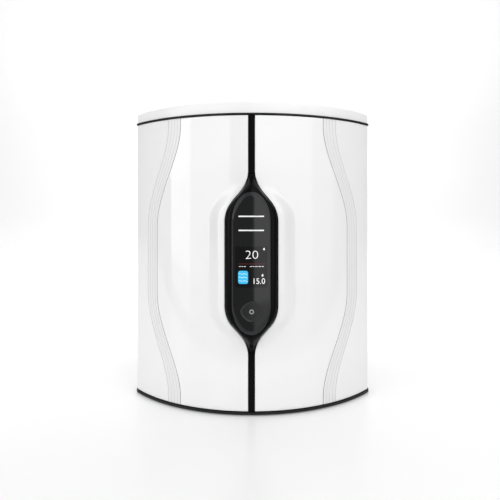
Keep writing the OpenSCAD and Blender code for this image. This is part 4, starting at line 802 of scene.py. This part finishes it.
# The display module's own glass: smooth, with a cold tinge
display_black = surface("display_glass", "#0b0d11", 0.08, ior=1.52, shade="#0c0e13")
# The display behind the lens, with a coat against glare: a little darker than the lens round it
window_black = surface("anti_glare_display_window", "#050506", 0.1, ior=1.49, shade="#070708", specular=0.42)
# What the display lights up, in white, blue and a dim red: flat colours that glow evenly
lit_white = surface("lit_display_white", "#c0c0c0", 0.4, shade="#bcbcbc", emission=("#ffffff", 0.7))
lit_blue = surface("lit_display_blue", "#1b5f7c", 0.4, shade="#1a5a76", emission=("#35bbee", 0.85))
lit_red = surface("lit_display_red", "#3a1614", 0.4, shade="#361413", emission=("#e0402c", 0.3))
# Coated paper labels on the cartridges, printed in blue: smooth, with a soft sheen
label_paper = surface("coated_label_paper", "#f3f3f1", 0.35, shade="#eeeeec", grain=0.002, grain_mm=0.3)
label_ink = surface("blue_label_print", "#2a5ea8", 0.4, shade="#2858a0", grain=0.002, grain_mm=0.3)
# Solder mask over glass-fibre board: green, half glossy and a little blotchy
circuit_green = surface("green_circuit_board", "#1c5a3a", 0.35, shade="#17482f", shade_mm=6,
                        grain=0.02, grain_mm=2)
# Moulded rubber: dull, and nearly black
rubber = surface("moulded_black_rubber", "#1c1c1d", 0.8, shade="#232324", grain=0.03, grain_mm=0.9)
# Anodised aluminium and drawn steel: fine lines along the part
aluminium = surface("anodised_aluminium", "#c9cbce", 0.38, metallic=1.0, shade="#c0c2c6",
                    grain=0.01, grain_mm=0.6, stretch=(1, 1, 0.05))
steel = surface("drawn_stainless_steel", "#c4c5c7", 0.26, metallic=1.0, shade="#b8babc",
                grain=0.006, grain_mm=0.5, stretch=(1, 1, 0.04))
# Paint on the motor's steel housing: a mid grey with a slight peel
motor_paint = surface("painted_motor_steel", "#5a5e63", 0.4, shade="#52565b", grain=0.012, grain_mm=1.2)
# Moulded acetal: ivory, smooth and waxy
acetal = surface("ivory_acetal", "#e2dccb", 0.35, shade="#dbd4c1", grain=0.004, grain_mm=0.8)
# Glass-filled polypropylene: light grey with a rough, even grain
grey_pp = surface("glass_filled_grey_polypropylene", "#bfc4c9", 0.45, shade="#b6bcc2",
                  grain=0.015, grain_mm=0.8)
# Moulded polypropylene in white and in blue: soft, waxy highlights
white_pp = surface("white_polypropylene", "#e9ebec", 0.38, shade="#e2e5e7", grain=0.008, grain_mm=1.2)
blue_pp = surface("blue_polypropylene", "#2a6fb5", 0.36, shade="#2566a8", grain=0.008, grain_mm=1.0)
# Glass-filled nylon: black and matt, with a grain of fibres
dark_nylon = surface("black_glass_filled_nylon", "#202123", 0.5, shade="#26272a", grain=0.02, grain_mm=0.7)
# Linear low-density polyethylene tube: milky and waxy
tube_pe = surface("milky_polyethylene", "#cfe0ea", 0.28, shade="#c5d8e4", grain=0.004, grain_mm=1.2)
# Clear quartz: pale, see-through and sharply glossy
quartz = surface("quartz_glass", "#e4f2fa", 0.05, ior=1.46, shade="#dcecf6", alpha=0.5)

# Finishes of the frame's own nodes. The cartridges and the collets behind the ports are numbered alike
NUMBERS = (1, 2, 3, 4)
FINISHES = {
    "base_tray": black_abs, "rubber_feet": rubber, "left_side_panel": powder_white,
    "right_side_panel": powder_white, "rear_panel": powder_white, "bulkhead": powder_grey,
    "centre_spine": aluminium, "top_deck": black_abs, "centre_strip": bezel_black,
    "display_module": display_black, "control_board": circuit_green, "left_hinge_rail": steel,
    "right_hinge_rail": steel, "left_hinge_bushes": acetal, "right_hinge_bushes": acetal, "hinge_pins": steel,
    "left_striker_plates": steel, "right_striker_plates": steel, "door_magnets": steel,
    "left_manifold": grey_pp, "right_manifold": grey_pp, "membrane_vessel": white_pp,
    "membrane_end_caps": dark_nylon, "lamp_chamber": steel, "lamp": quartz, "vessel_clips": grey_pp,
    "pump_volute": dark_nylon, "pump_motor": motor_paint, "pump_impeller": acetal, "pump_shaft": steel,
    "pump_cradle": rubber, "pressure_regulator": aluminium, "inlet_solenoid": dark_nylon,
    "drain_solenoid": dark_nylon, "main_board": circuit_green, "board_standoffs": steel,
    "internal_tubes": tube_pe, "water_sensors": dark_nylon, "connection_block": dark_nylon,
    "power_inlet": dark_nylon, "data_socket": steel,
}
for number in NUMBERS:
    FINISHES[f"cartridge_{number}_bottle"] = white_pp
    FINISHES[f"cartridge_{number}_head"] = blue_pp
    FINISHES[f"collet_{number}"] = grey_pp
for name, material in FINISHES.items():
    materials = nodes[name].data.materials
    materials.clear()
    materials.append(material)

# Finer pieces: some take the place of a node of the frame, and the rest are laid on its faces
for side in ("left", "right"):
    make_door(side, [gloss_abs, satin_abs, groove_shade_abs, faint_groove_shade_abs])
make_cap(cap_abs)
make_bezel(bezel_black, gap_shade_black)
make_lens(lens_black, bevel_painted_highlight)
make_light_bars(light_white)
make_button(button_black, button_edge_highlight, mark_white)
make_display(window_black, lit_white, lit_blue, lit_red)
for number in NUMBERS:
    make_label(number, label_paper, label_ink)


# Studio, in metres

def make_floor():
    """Pale paper that folds over a table's front edge, lies flat, and curves up far behind the cabinet."""
    front, bend, hang, back, radius, height, half = -0.37, 0.01, -0.03, 1.6, 0.9, 3.0, 4.0
    profile = [(front - bend, hang)]
    profile += [(front - bend * math.cos(a), bend * (math.sin(a) - 1)) for a in spread(0, RIGHT_ANGLE, 6)]
    profile += [(back + radius * math.sin(a), radius * (1 - math.cos(a))) for a in spread(0, RIGHT_ANGLE, 24)]
    profile.append((back + radius, height))
    mesh = bpy.data.meshes.new("studio_floor")
    mesh.from_pydata([(x, y, z) for y, z in profile for x in (-half, half)], [], grid_faces(len(profile), 2))
    mesh.polygons.foreach_set("use_smooth", [True] * len(mesh.polygons))
    # Smooth paper with a slight gloss: it mirrors the cabinet's foot faintly
    mesh.materials.append(surface("pale_studio_paper", "#e0e0e0", 0.2, ior=1.4, emission=("#ffffff", 0.18)))
    new_object("studio_floor", mesh)


def area_light(name, at, aim, width, height, radiance):
    """A softbox at a point, turned to face another one."""
    data = bpy.data.lights.new(name, "AREA")
    data.shape = "RECTANGLE"
    data.size, data.size_y = width, height
    data.energy = radiance * math.pi * width * height
    light = new_object(name, data)
    light.location = at
    light.rotation_euler = (Vector(aim) - Vector(at)).to_track_quat("-Z", "Y").to_euler()


def make_lights():
    """Banks and ceilings over each side, a light on the backdrop, and softboxes behind the camera."""
    # Name, ends along x, and radiance
    banks = (("left", -1.9, -0.42, 1.5), ("right", 0.016, 1.7, 1.7))
    softboxes = (("outer_left", -2.6, -1.2, 2.45), ("left", -1.2, -0.32, 1.1),
                 ("right", 0.016, 1.07, 1.3), ("outer_right", 1.07, 2.4, 0.6))
    # Name, ends in height, and share of the softbox's radiance
    parts = (("crown", 0.45, 1.0, 1.1), ("head", 0.0, 0.45, 0.9), ("middle", -0.18, 0.0, 0.5),
             ("foot", -0.5, -0.18, 0.2))
    bank_h, ceiling_depth, ceiling_radiance, softbox_y = 0.45, 2.0, 0.6, -1.0

    for side, low, high, radiance in banks:
        x, width = (low + high) / 2, high - low
        area_light(f"{side}_bank", (x, -0.75, 0.95), (x, -0.15, 0.4), width, bank_h, radiance)
        area_light(f"{side}_ceiling", (x, -0.3, 2.2), (x, -0.3, 0), width, ceiling_depth, ceiling_radiance)
    area_light("backdrop_light", (0, 0.9, 2.2), (0, 2.3, 0.6), 4.0, 0.8, 5.3)
    # The bowed doors mirror the softboxes' upright edges, and each softbox is dimmer towards its foot
    for name, low, high, radiance in softboxes:
        for part, bottom, top, share in parts:
            x, z = (low + high) / 2, (bottom + top) / 2
            area_light(f"{name}_softbox_{part}", (x, softbox_y, z), (x, 0, z), high - low, top - bottom,
                       share * radiance)


def make_studio():
    """The floor, a world of even grey, and the lights."""
    make_floor()
    world = bpy.data.worlds.new("grey_studio")
    world.use_nodes = True
    backdrop = world.node_tree.nodes["Background"]
    backdrop.inputs["Color"].default_value = (1, 1, 1, 1)
    backdrop.inputs["Strength"].default_value = 0.25
    bpy.context.scene.world = world
    bpy.context.scene.view_settings.view_transform = "Standard"
    make_lights()


def make_camera():
    """The photograph's view: level, a little above the cabinet's middle and to the right of it."""
    data = bpy.data.cameras.new("camera")
    data.sensor_width, data.lens = 36.0, 33.74
    data.shift_x, data.shift_y = -0.0223, -0.08
    camera = new_object("camera", data)
    camera.location = (0.0136, -0.8131, 0.2908)
    camera.rotation_euler = (RIGHT_ANGLE, 0, 0)
    bpy.context.scene.camera = camera


make_studio()
make_camera()
